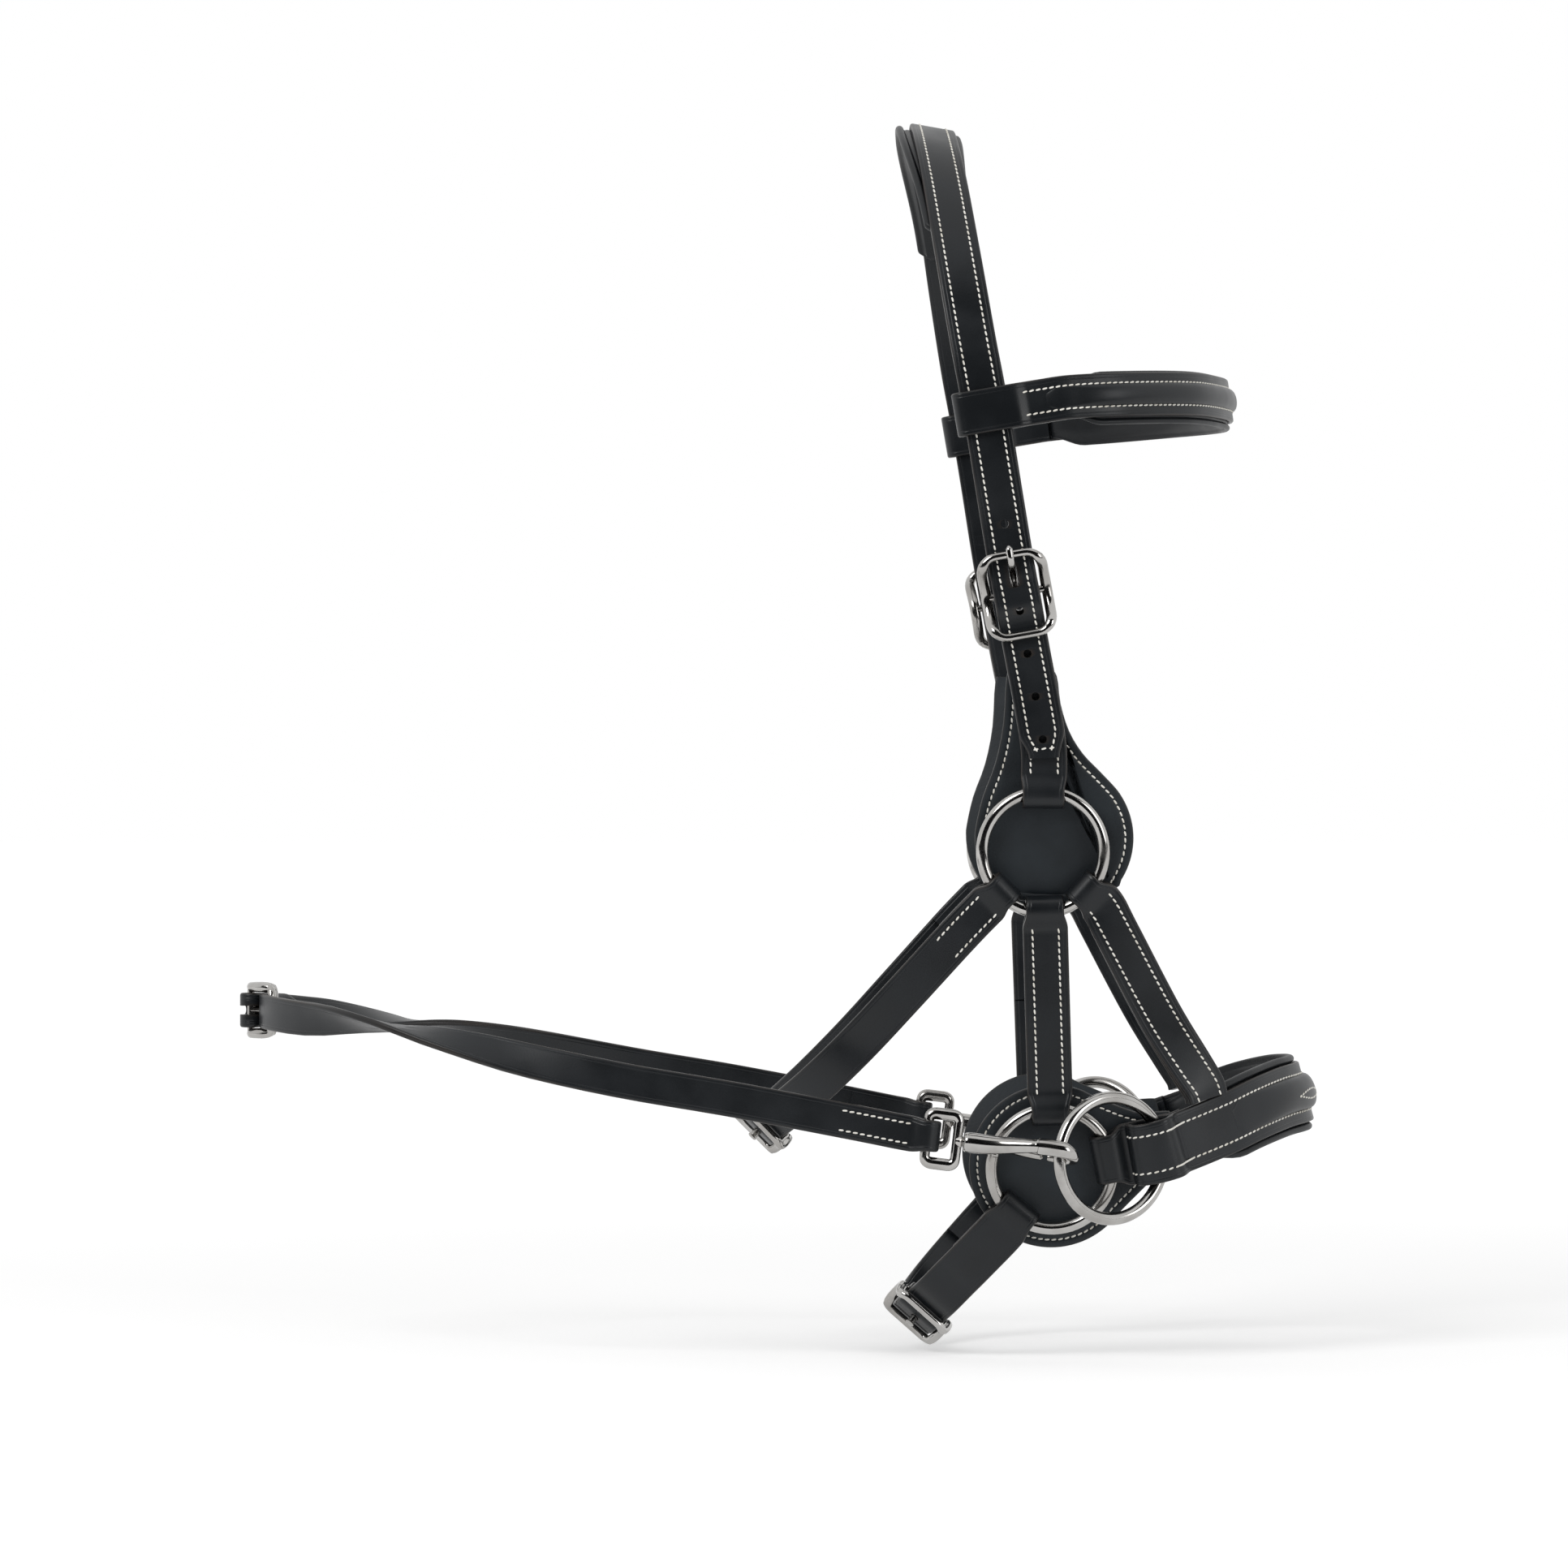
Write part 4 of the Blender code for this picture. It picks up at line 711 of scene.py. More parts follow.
def show_pair(piece: Object, body: Body, slot: Slot, *nodes: str) -> None:
    """Shows a near piece and its mirrored far twin.

    Args:
        piece: the near piece.
        body: the near body, or the shared one.
        slot: passed on to show, which doesn't use it.
        nodes: the near nodes that it replaces.
    """
    twin = mirrored(piece)
    show(piece, body, slot, *nodes)
    show(twin, Body(far_name(body.value)), slot, *[far_name(node) for node in nodes])


# Routes and profiles


def smooth(points: Sequence[Vector], steps: int = ROUTE_STEPS) -> list[Vector]:
    """A smooth curve through points.

    Args:
        points: what it passes through.
        steps: pieces from each to the next.

    Returns:
        The curve's points.
    """
    ends = [2 * points[0] - points[1], *points, 2 * points[-1] - points[-2]]
    line = []
    for i in range(1, len(ends) - 2):
        before, start, stop, after = ends[i - 1:i + 3]
        for j in range(steps):
            t = j / steps
            line.append((start * 2 + (stop - before) * t + (before * 2 - start * 5 + stop * 4 - after) * t * t
                         + (start * 3 - before - stop * 3 + after) * t * t * t) / 2)
    return line + [points[-1]]


class Route:
    """A line that leather is laid on, with the direction across the strap at each of its points."""

    def __init__(self, points: Sequence[Vector], across: Sequence[Vector]) -> None:
        """Smooths the line and measures it.

        Args:
            points: the points it passes through.
            across: the way across at each of them.
        """
        self.points = smooth(points)
        self.across = smooth(across)
        self.reach = [0.0]
        for here, there in zip(self.points, self.points[1:]):
            self.reach.append(self.reach[-1] + (there - here).length)
        self.length = self.reach[-1]
        self.marks = self.reach[::ROUTE_STEPS]

    def tangent(self, index: int) -> Vector:
        """The direction along the line at one of its points."""
        low, high = max(index - 1, 0), min(index + 1, len(self.points) - 1)
        return (self.points[high] - self.points[low]).normalized()

    def at(self, s: float) -> tuple[Vector, Vector, Vector, Vector]:
        """Finds a place on the line.

        Args:
            s: the distance along it.

        Returns:
            The point, and the ways along, across and out there.
        """
        index = min(max(bisect.bisect_right(self.reach, s) - 1, 0), len(self.reach) - 2)
        share = (s - self.reach[index]) / (self.reach[index + 1] - self.reach[index])
        point = self.points[index].lerp(self.points[index + 1], share)
        share = min(max(share, 0), 1)
        along = self.tangent(index).lerp(self.tangent(index + 1), share).normalized()
        across = self.across[index].lerp(self.across[index + 1], share)
        across = (across - along * across.dot(along)).normalized()
        return point, along, across, along.cross(across)

    def place(self, s: float, n: float = 0, a: float = 0) -> Vector:
        """The point at distance s, n out from the line and a across it."""
        point, _, across, out = self.at(s)
        return point + out * n + across * a

    def whole(self, half: Profile) -> Profile:
        """A near half profile made whole with its far half."""
        return half + [(self.length - s, n) for s, n in reversed(half[:-1])]

    def stadium(self, s: float, length: float, radius: float, depth: float = DRIVE) -> Object:
        """A cutter with round ends, for a punched hole or slot.

        Args:
            s: where its middle is.
            length: from one round end's centre to the other's.
            radius: of its ends.
            depth: how far it reaches to either side.

        Returns:
            The cutter.
        """
        place, along, _, out = self.at(s)
        aside = out.cross(along)
        count = 24
        loop = []
        for angle in (math.tau * (j + 0.5) / count for j in range(count)):
            end = length / 2 * (1 if math.cos(angle) >= 0 else -1)
            loop.append(along * (end + radius * math.cos(angle)) + aside * radius * math.sin(angle))
        rings = [[place + point + out * lift for point in loop] for lift in (-depth, depth)]
        return skin("cutter", rings, BRIDLE_LEATHER)


def turned(a: Vector, b: Vector, degrees: float) -> Vector:
    """The unit vector at an angle from one direction towards another."""
    angle = math.radians(degrees)
    return a * math.cos(angle) + b * math.sin(angle)


def polar(radius: float, degrees: float, shift: float = 0.0) -> tuple[float, float]:
    """A point on a circle, whose centre may be shifted by as much both ways."""
    angle = math.radians(degrees)
    return shift + radius * math.cos(angle), shift + radius * math.sin(angle)


def both(points: Sequence[Vector]) -> list[Vector]:
    """A near half made whole with its mirrored far half."""
    return [*points, *[Vector((point.x, -point.y, point.z)) for point in reversed(points[:-1])]]


def ease(share: float) -> float:
    """A smooth step from 0 to 1."""
    return 0.5 - 0.5 * math.cos(math.pi * min(max(share, 0), 1))


def layer_offset(leather: float = LEATHER) -> float:
    """Half the distance between the middles of two sewn layers."""
    return (leather + SEAM) / 2


def sagitta(half_width: float) -> float:
    """How far a ring's wire falls back between the middle and the edge of a loop."""
    lean = math.cos(math.asin(half_width / RING_RADIUS))
    return RING_RADIUS * (1 - lean) + RING_WIRE * (1 / lean - 1)


def fold(wire: float, radius: float, back: float, toward: int, reach: float = 8 * MM,
         leather: float = LEATHER, play: float = LOOP_PLAY) -> Profile:
    """Half of a doubled strap's turn round a wire, from its inner layer to its outer.

    Args:
        wire: the wire's distance along the route.
        radius: the wire's radius.
        back: the eye's extra length.
        toward: the sense in which the strap goes on.
        reach: how far the layers take to close.
        leather: the leather's thickness.
        play: the room round the wire.

    Returns:
        The profile's points.
    """
    bend = radius + play + leather / 2
    closed = layer_offset(leather)
    lead = [(wire + toward * reach * (1 - i / REACH_STEPS), closed + (bend - closed) * ease(i / REACH_STEPS))
            for i in range(REACH_STEPS + 1)]
    turn = [(wire - toward * (back + bend * math.sin(math.pi * i / FOLD_STEPS)),
             -bend * math.cos(math.pi * i / FOLD_STEPS)) for i in range(FOLD_STEPS + 1)]
    if back < 0.01 * MM:
        turn = turn[1:-1]
    return [*[(s, -n) for s, n in lead], *turn, *reversed(lead)]


def run(start: float, stop: float, n: float, step: float = LAY_STEP) -> Profile:
    """Evenly spaced points between two distances, without the first, at a steady offset."""
    count = max(1, math.ceil(abs(stop - start) / step))
    return [(start + (stop - start) * i / count, n) for i in range(1, count + 1)]


def turned_back(start: float, turn: Profile, outer: float) -> Profile:
    """A fold with the inner layer that leads to it from its cut end."""
    return [(start, -outer), *run(start, turn[0][0], -outer)[:-1], *turn]


def doubled(first: Profile, last: Profile, middle: float) -> Profile:
    """A strap doubled between two folds, whose cut ends meet in the middle of its inner layer."""
    outer = layer_offset()
    return [*turned_back(middle - END_GAP, first, outer), *run(first[0][0], last[0][0], outer)[:-1],
            *reversed(last), *run(last[0][0], middle + END_GAP, -outer)]


def over_bar(bar: float, arm: float, resting: float, top: float) -> Profile:
    """How a billet rises over its buckle's bar.

    Args:
        bar: the bar's distance along the route.
        arm: from the bar to the buckle's ends.
        resting: the billet's offset beside it.
        top: its offset over the bar.

    Returns:
        The profile's points.
    """
    shares = ((-0.72, 0.0), (-0.5, 0.35), (-0.27, 1.04), (0.0, 1.08), (0.27, 1.04), (0.5, 0.35), (0.72, 0.0))
    line = smooth([Vector((share, lift, 0)) for share, lift in shares], 3)
    return [(bar + arm * p.x, resting + (top - resting) * p.y) for p in line]


def tapered(full: float, *ends: tuple[float, int, float, float]) -> Callable[[float], float]:
    """Half widths along a strap.

    Args:
        full: the half width between the ends.
        ends: place, sense in which it widens, half width there and the taper's length, for each.

    Returns:
        A function that gives the half width for a distance.
    """
    return lambda s: min([full] + [narrow + (full - narrow) * ease((s - place) * toward / spread)
                                   for place, toward, narrow, spread in ends])


@dataclass
class Section:
    """Where a strap is at one point of its profile."""

    s: float
    point: Vector
    across: Vector
    out: Vector
    half: float
    facing: float


class Strap:
    """A blank laid on a route along a profile."""

    def __init__(self, route: Route, profile: Profile, half_width: Callable[[float], float],
                 leather: float = LEATHER) -> None:
        """Lays the blank.

        Args:
            route: what it is laid on.
            profile: (s, n) pairs that it follows.
            half_width: its half width at each distance.
            leather: its thickness.
        """
        self.leather = leather
        places = [route.at(s) for s, _ in profile]
        points = [point + out * n for (point, _, _, out), (_, n) in zip(places, profile)]
        self.sections: list[Section] = []
        for i, (s, _) in enumerate(profile):
            along = (points[min(i + 1, len(points) - 1)] - points[max(i - 1, 0)]).normalized()
            across = places[i][2]
            across = (across - along * across.dot(along)).normalized()
            out = along.cross(across)
            self.sections.append(Section(s, points[i], across, out, half_width(s), out.dot(places[i][3])))

    def outline(self, half: float) -> list[tuple[float, float, float]]:
        """The strap's section: rounded edges, and points enough across for its crease.

        Args:
            half: the half width.

        Returns:
            Across, out and distance from the edge, for each point.
        """
        thick = self.leather / 2
        corner = 0.72 * thick
        inset = min(2.4 * MM, half / 2)
        flat = [-(half - corner), -(half - inset), 0.0, half - inset, half - corner]
        loop = []
        for face in (1, -1):
            loop += [(face * a, face * thick) for a in flat]
            for sense, angle in ((face, 60), (face, 30), (face, 0), (-face, 0), (-face, 30), (-face, 60)):
                a, t = polar(corner, angle)
                loop.append((face * (half - corner + a), sense * (thick - corner + t)))
        return [(a, t, max(half - abs(a), 0)) for a, t in loop]

    def build(self, name: str) -> Object:
        """Makes the strap's mesh.

        Args:
            name: the piece's name.

        Returns:
            The strap.
        """
        rings, edges = [], []
        for part in self.sections:
            loop = self.outline(part.half)
            rings.append([part.point + part.across * a + part.out * t for a, t, _ in loop])
            edges.append([edge for _, _, edge in loop])
        return skin(name, rings, BRIDLE_LEATHER, edge=edges)

    def surface(self, s: float, a: float, lift: float = 0.08 * MM) -> tuple[Vector, Vector]:
        """A place on the strap's outer face.

        Args:
            s: distance along the route.
            a: distance across.
            lift: height over the leather.

        Returns:
            The point and the way out.
        """
        best: tuple[float, Section, Section, float] | None = None
        for here, there in zip(self.sections, self.sections[1:]):
            low, high = min(here.s, there.s), max(here.s, there.s)
            if here.facing <= 0.2 or high - low < 1e-9:
                continue
            miss = max(low - s, s - high, 0)
            if best is None or miss < best[0]:
                best = (miss, here, there, min(max((s - here.s) / (there.s - here.s), 0), 1))
        _, here, there, share = best
        out = here.out.lerp(there.out, share).normalized()
        across = here.across.lerp(there.across, share).normalized()
        return here.point.lerp(there.point, share) + across * a + out * (self.leather / 2 + lift), out

    def row(self, start: float, stop: float, a: Callable[[float], float] | float) -> Row:
        """A row of stitches along the strap.

        Args:
            start: where it starts.
            stop: where it stops.
            a: its place across, or a function that gives it.

        Returns:
            The row's points.
        """
        count = max(2, round(abs(stop - start) / (2 * MM)))
        places = [start + (stop - start) * i / count for i in range(count + 1)]
        return [self.surface(s, a(s) if callable(a) else a) for s in places]

    def rows(self, start: float, stop: float, a: float) -> list[Row]:
        """Two rows of stitches between two distances, to both sides of the middle."""
        return [self.row(start, stop, sense * a) for sense in (-1, 1)]


@dataclass
class Padding:
    """A padded strip on a route, which ends as far from both of the route's ends."""

    route: Route
    start: float
    base: float
    body: Body
    fill: float
    slot: Slot = Slot.LINING
    rise: float = 0.0
    blunt: float = 5 * MM

    def build(self, name: str, node: str, section: Callable[[float], Profile]) -> None:
        """Args:
            name: the piece's name.
            node: the CAD node that it replaces.
            section: (across, out) points for a share of its length.
        """
        blunt, length = self.blunt, self.route.length - self.start - self.start
        count = math.ceil(length / LAY_STEP)
        ends = [blunt * (1 - math.cos(math.pi / 2 * i / 10)) for i in range(10)]
        middle = [blunt + (length - 2 * blunt) * i / count for i in range(count + 1)]
        rings = []
        for reach in [*ends, *middle, *[length - end for end in reversed(ends)]]:
            near = min(reach, length - reach, blunt) / blunt
            swell = 0.08 + 0.92 * math.sqrt(max(1 - (1 - near) ** 2, 0))
            spread = 0.62 + 0.38 * ease(near)
            point, _, across, out = self.route.at(self.start + reach)
            rings.append([point + out * (self.base + t * swell) + across * (self.rise + a * spread)
                          for a, t in section(reach / length)])
        piece = skin(name, rings, LINING_FINISH if self.slot is Slot.LINING else BRIDLE_LEATHER)
        show(piece, self.body, self.slot, node)


def lining_section(half: float, thick: float, piping: float = PIPING) -> Profile:
    """A lining's section: piping along both edges and a soft crown towards the head.

    Args:
        half: its half width.
        thick: how far it stands towards the head.
        piping: the piping's radius.

    Returns:
        (across, out) points.
    """
    side = [(0.0, 0.0), (half - 3.6 * piping, 0.0), (half - 2.9 * piping, -0.05 * MM),
            (half - 2.35 * piping, -0.45 * MM), (half - 2.0 * piping, -0.2 * MM)]
    for angle in range(140, -111, -25):
        a, t = polar(piping, angle)
        side.append((half - piping + a, -0.5 * MM + t))
    side += [(half - 1.75 * piping, -0.5 * MM - 1.1 * piping), (half - 2.1 * piping, -0.55 * thick),
             (half - 3.2 * piping, -0.78 * thick), (0.55 * half, -0.95 * thick), (0.28 * half, -0.99 * thick)]
    return [*side, (0.0, -thick), *[(-a, t) for a, t in reversed(side[1:])]]


def roll_section(half: float, thick: float) -> Profile:
    """A raised roll's section: a soft dome on a flat base."""
    angles = [math.pi * i / DOME_STEPS for i in range(DOME_STEPS + 1)]
    dome = [(half * math.cos(angle), thick * math.sin(angle) ** DOME_POWER) for angle in angles]
    return [*dome, (-0.5 * half, 0.0), (0.0, 0.0), (0.5 * half, 0.0)]


# Places on the head


UPPER_RING = Vector((46.7, -90.0, -312.4)) * MM
RING_SPACING = 139.2 * MM
TILT = math.asin(16.0 / 139.2)
UP = Vector((0, -math.sin(TILT), math.cos(TILT)))
OUT = Vector((0, -math.cos(TILT), -math.sin(TILT)))
LOWER_RING = UPPER_RING + X * 4.4 * MM - UP * RING_SPACING


def cheek(centre: Vector, forward: float, up: float, out: float = 0) -> Vector:
    """A point of the near cheek's plane, from a ring's centre."""
    return centre + X * forward + UP * up + OUT * out


def on_ring(centre: Vector, degrees: float) -> tuple[Vector, Vector, Vector]:
    """Where a loop lies on a near ring's wire, and the ways out from its centre and along it."""
    away = turned(X, UP, degrees)
    return centre + away * RING_RADIUS, away, turned(X, UP, degrees + 90)


def head_route() -> Route:
    """From the near upper ring up the cheek, over the poll and down to the far ring.

    Returns:
        The headpiece's and the cheekpieces' route.
    """
    rise, lean = 112.5 * MM, 11.9 * MM
    line = [cheek(UPPER_RING, 0, RING_RADIUS)]
    line += [cheek(UPPER_RING, forward * lean, up * rise)
             for forward, up in ((0.0, 0.40), (-0.30, 0.60), (-0.66, 0.80), (-1.0, 1.0), (-1.30, 1.17))]
    crest = 6.0 * MM + CLEARANCE + BILLET_LEATHER / 2
    arch = ((1.0, 1.0, 1.0), (0.972, 0.765, 0.74), (0.837, 0.462, 0.44), (0.614, 0.225, 0.22),
            (0.335, 0.064, 0.06))
    line += [Vector((forward * 21.5 * MM, -side * 107.5 * MM, crest - drop * 129.7 * MM))
             for side, drop, forward in arch]
    line.append(Z * crest)
    ways = [-X] * 6 + [turned(-X, Z, 10.0)] * (len(line) - 6)
    return Route(both(line), both(ways))


def cradle_route(centre: Vector, degrees: float, shares: Sequence[tuple[float, float]], span: float,
                 back: float, drop: float, bow: float = 0) -> Route:
    """A strap route from a near ring under the jaw to the far ring.

    Args:
        centre: the ring's centre.
        degrees: where its loop lies on the ring.
        shares: (way down, way out) shares of its points.
        span: half the distance between the rings.
        back: how far back its lowest point is.
        drop: how far down that is.
        bow: how much it is bowed forward on its way.

    Returns:
        The route.
    """
    start, away, across = on_ring(centre, degrees)
    lead = start + away * LEAD_OUT
    bottom = Vector((centre.x - back, 0, centre.z - drop))
    flat = Vector((drop, 0, -back)).normalized()
    line = [start, lead]
    for share, side in shares:
        point = Vector((lead.x + (bottom.x - lead.x) * share, -side * span,
                        lead.z + (bottom.z - lead.z) * share))
        line.append(point + flat * bow * share ** 2 * (1 - share))
    line.append(bottom)
    ways = [across.lerp(flat, min(1, 2 * i / len(line))) for i in range(len(line))]
    ways[-1] = flat
    return Route(both(line), both(ways))


def nose_route() -> Route:
    """From the near lower ring forward, round the nose and back to the far ring.

    Returns:
        The noseband's route.
    """
    start, away, across = on_ring(LOWER_RING, 11.0)
    reach, rise = 113.0 * MM, 30.8 * MM
    shares = ((0.4214, 0.2915, 1.050), (0.654, 0.602, 0.890), (0.791, 0.809, 0.690), (0.906, 0.944, 0.420),
              (0.976, 0.990, 0.200), (1.0, 1.0, 0.0))
    line = [start, start + away * LEAD_OUT]
    line += [Vector((LOWER_RING.x + forward * reach, LOWER_RING.y * side, LOWER_RING.z + up * rise))
             for forward, up, side in shares]
    level = Vector((-rise, 0, reach)).normalized()
    ways = [across.lerp(level, max(0, (i - 2) / (len(line) - 3))) for i in range(len(line))]
    return Route(both(line), both(ways))


def brow_route(head: Route) -> Route:
    """From the headpiece's front edge round the brow and back to it.

    Args:
        head: the headpiece's route.

    Returns:
        The browband's route.
    """
    loop, along, back, _ = head.at(head.marks[6])
    start = loop - back * 12.4 * MM
    line = [start, start - back * 12.0 * MM]
    shares = ((0.26, 0.60, 0.988), (0.52, 0.84, 0.893), (0.80, 1.04, 0.640), (0.955, 1.03, 0.300),
              (1.0, 1.0, 0.0))
    line += [Vector((start.x + forward * 96.5 * MM, start.y * side, start.z + up * 6.5 * MM))
             for forward, up, side in shares]
    front = turned(Z, -X, 8.0)
    ways = [along.lerp(front, min(1, max(0, i - 1) / 2)) for i in range(len(line))]
    return Route(both(line), both(ways))


def round_corners(half_length: float, half_width: float, corner: float) -> list[tuple[float, float]]:
    """The centre line of a rectangle with round corners.

    Args:
        half_length: along.
        half_width: across.
        corner: the corners' radius.

    Returns:
        (along, across) pairs, with points along the straights too.
    """
    line = []
    steps, spacing = 8, 1.2 * MM
    for quarter, (sign_s, sign_a) in enumerate(((1, 1), (-1, 1), (-1, -1), (1, -1))):
        for i in range(steps + 1):
            angle = math.pi / 2 * (quarter + i / steps)
            line.append((sign_s * (half_length - corner) + corner * math.cos(angle),
                         sign_a * (half_width - corner) + corner * math.sin(angle)))
    full = []
    for (s, a), (s_next, a_next) in zip(line, [*line[1:], line[0]]):
        count = round(math.hypot(s_next - s, a_next - a) / spacing)
        full.append((s, a))
        full += [(s + (s_next - s) * j / count, a + (a_next - a) * j / count) for j in range(1, count)]
    return full


@dataclass
class WireBuckle:
    """A dished wire buckle with a centre bar, and a stud on it where it has one."""

    width: float
    height: float
    corner: float
    rise: float
    stud: float = 0.0
    broad: float = 1.2

    def build(self, name: str, route: Route, place: float) -> Object:
        """Makes the buckle on its route.

        Args:
            name: the piece's name.
            route: what it lies on.
            place: its bar's distance along the route.

        Returns:
            The buckle.
        """
        half_length, half_width = self.height / 2 - BUCKLE_WIRE, self.width / 2 - BUCKLE_WIRE
        dish = half_length - self.corner / 2
        line, normals, sizes = [], [], []
        for s, a in round_corners(half_length, half_width, self.corner):
            lift = self.rise * min(1, abs(s) / dish) ** 2
            line.append(route.place(place + s, lift, a))
            normals.append(route.at(place + s)[3])
            side = ease((abs(a) / half_width - 0.72) / 0.28)
            sizes.append((BUCKLE_WIRE * (1 + (self.broad - 1) * side), BUCKLE_WIRE))
        loop = sweep(name, line, normals, sizes, STEEL, cyclic=True)
        _, _, across, out = route.at(place)
        ends = [route.place(place, 0, half_width * share / 10) for share in range(-10, 11)]
        pieces = [loop, sweep("bar", ends, out, BUCKLE_BAR, STEEL, sides=16)]
        if self.stud:
            top = self.rise + BUCKLE_WIRE + self.stud
            shape = [(0.0, 1.7), (top - 1.0 * MM, 1.7), (top - 0.9 * MM, 2.0), (top - 0.35 * MM, 2.05),
                     (top - 0.05 * MM, 1.6), (top, 0.6)]
            pieces.append(lathed("stud", shape, lambda n: route.place(place, n), across))
        return joined(pieces)


# Sub-assemblies


@dataclass
class Headstall:
    """Headpiece, poll pad, cheek buckles and cheekpieces."""

    route: Route
    width: float = 20.0 * MM
    billet: float = 72.0 * MM
    settling: float = 40.0 * MM
    hole_spacing: float = 18.9 * MM
    hole_radius: float = 1.7 * MM
    first_hole: float = 11.8 * MM
    tip: tuple[float, float] = (6.7 * MM, 12.0 * MM)
    pad_half: float = 102.0 * MM
    pad_thickness: float = 6.0 * MM
    buckle_height: float = 38.6 * MM
    buckle_width: float = 30.0 * MM
    tongue_wire: float = 1.4 * MM
    bar: float = field(init=False)

    def __post_init__(self) -> None:
        """Finds the buckle's bar."""
        self.bar = self.route.marks[4]

    def headpiece(self) -> None:
        """The strap over the poll with its two billets, their holes and its stitching."""
        head, bar = self.route, self.bar
        resting = SEAM / 2 + LEATHER + CLEARANCE + BILLET_LEATHER / 2
        top = BUCKLE_BAR + CLEARANCE + LEATHER + CLEARANCE + BILLET_LEATHER / 2
        arm = self.buckle_height / 2 - BUCKLE_WIRE
        start, settles, steps = bar - self.billet, self.settling, 20
        half = [(start, resting), *run(start, bar - arm, resting)[:-1]]
        half += over_bar(bar, arm, resting, top)
        half += run(half[-1][0], bar + arm + BUCKLE_WIRE, resting)
        leaves = half[-1][0]
        half += [(leaves + settles * i / steps, resting * (1 - ease(i / steps))) for i in range(1, steps + 1)]
        half += run(leaves + settles, head.length / 2, 0, 3.0 * MM)
        ends = [(place, sense, *self.tip) for place, sense in ((start, 1), (head.length - start, -1))]
        width = tapered(self.width / 2, *ends)
        strap = Strap(head, head.whole(half), width, BILLET_LEATHER)
        piece = strap.build("headpiece_strap")
        cutters = []
        for index in (-1, 1, 2, 3, 4):
            place = bar + self.first_hole - index * self.hole_spacing
            cutters += [head.stadium(s, HOLE_LENGTH, self.hole_radius) for s in (place, head.length - place)]
        cutters += [head.stadium(s, 7.0 * MM, 1.95 * MM)
                    for s in (bar + 8.8 * MM, head.length - bar - 8.8 * MM)]
        show(cut(piece, cutters), Body.BRIDLE, Slot.LEATHER, "headpiece")
        tip = start + ROW_INSET
        corner = width(tip) - ROW_INSET
        far_tip = head.length - tip
        rows = [[strap.surface(s, corner * share / 4) for share in range(-4, 5)] for s in (tip, far_tip)]
        rows += [strap.row(tip, far_tip, lambda s: sense * (width(s) - ROW_INSET)) for sense in (-1, 1)]
        show(NEEDLE.sew("headpiece_stitches", rows), Body.BRIDLE, Slot.LEATHER)

    def poll_pad(self) -> None:
        """The soft pad under the headpiece's crown."""
        pad = Padding(self.route, self.route.length / 2 - self.pad_half, -BILLET_LEATHER / 2 - LINING_SEAT,
                      Body.BRIDLE, 0.7, rise=1.5 * MM)
        pad.build("poll_padding", "poll_pad", lambda share: lining_section(
            10.5 * MM + 4.0 * MM * ease(2 * min(share, 1 - share) * 1.25), self.pad_thickness))

    def buckles(self) -> None:
        """The cheek buckles and their tongues."""
        rise = SEAM / 2 + LEATHER + CLEARANCE + BILLET_LEATHER + CLEARANCE + BUCKLE_WIRE
        shape = WireBuckle(self.buckle_width, self.buckle_height, 7.0 * MM, rise, broad=1.28)
        show_pair(shape.build("near_cheek_buckle_frame", self.route, self.bar), Body.BRIDLE, Slot.STEEL,
                  "near_cheek_buckle")
        wire = self.tongue_wire
        eye = BUCKLE_BAR + CLEARANCE + wire
        reach, top = self.buckle_height / 2 - BUCKLE_WIRE, rise + BUCKLE_WIRE + CLEARANCE + wire
        turn = [Vector((*polar(eye, angle), 0)) for angle in range(-30, -280, -10)]
        shank = [Vector((reach * s, top * n, 0)) for s, n in
                 ((0.23, 0.27), (0.42, 0.30), (0.61, 0.50), (0.76, 0.84), (0.90, 1.0), (1.0, 1.02))]
        shank.append(Vector((reach + 3.8 * MM, top, 0)))
        line = turn + smooth(shank, 6)
        tip = [min(1.0, 0.35 + i / 3) for i in reversed(range(len(line)))]
        points = [self.route.place(self.bar + p.x, p.y) for p in line]
        tongue = sweep("near_cheek_buckle_tongue", points, self.route.at(self.bar)[2],
                       [(wire * t, wire * 1.1 * t) for t in tip], STEEL)
        show_pair(tongue, Body.NEAR_TONGUE, Slot.STEEL, "near_cheek_tongue")

    def cheekpieces(self) -> None:
        """The doubled straps from the buckles down to the upper rings."""
        first = fold(0, RING_WIRE, sagitta(9 * MM), 1)
        last = fold(self.bar, BUCKLE_BAR, 0, -1)
        width = tapered(self.width / 2, (0, 1, 9 * MM, TAPER))
        strap = Strap(self.route, doubled(first, last, (first[0][0] + last[0][0]) / 2), width)
        slot = self.route.stadium(self.bar, 11.0 * MM, 1.9 * MM, 14 * MM)
        piece = cut(strap.build("near_cheekpiece_strap"), [slot])
        show_pair(piece, Body.BRIDLE, Slot.LEATHER, "near_cheekpiece")
        rows = strap.rows(9 * MM, self.bar - 9 * MM, self.width / 2 - ROW_INSET)
        show_pair(NEEDLE.sew("near_cheekpiece_stitches", rows), Body.BRIDLE, Slot.LEATHER)

    def build(self) -> None:
        """Makes the whole headstall."""
        self.headpiece()
        self.poll_pad()
        self.buckles()
        self.cheekpieces()


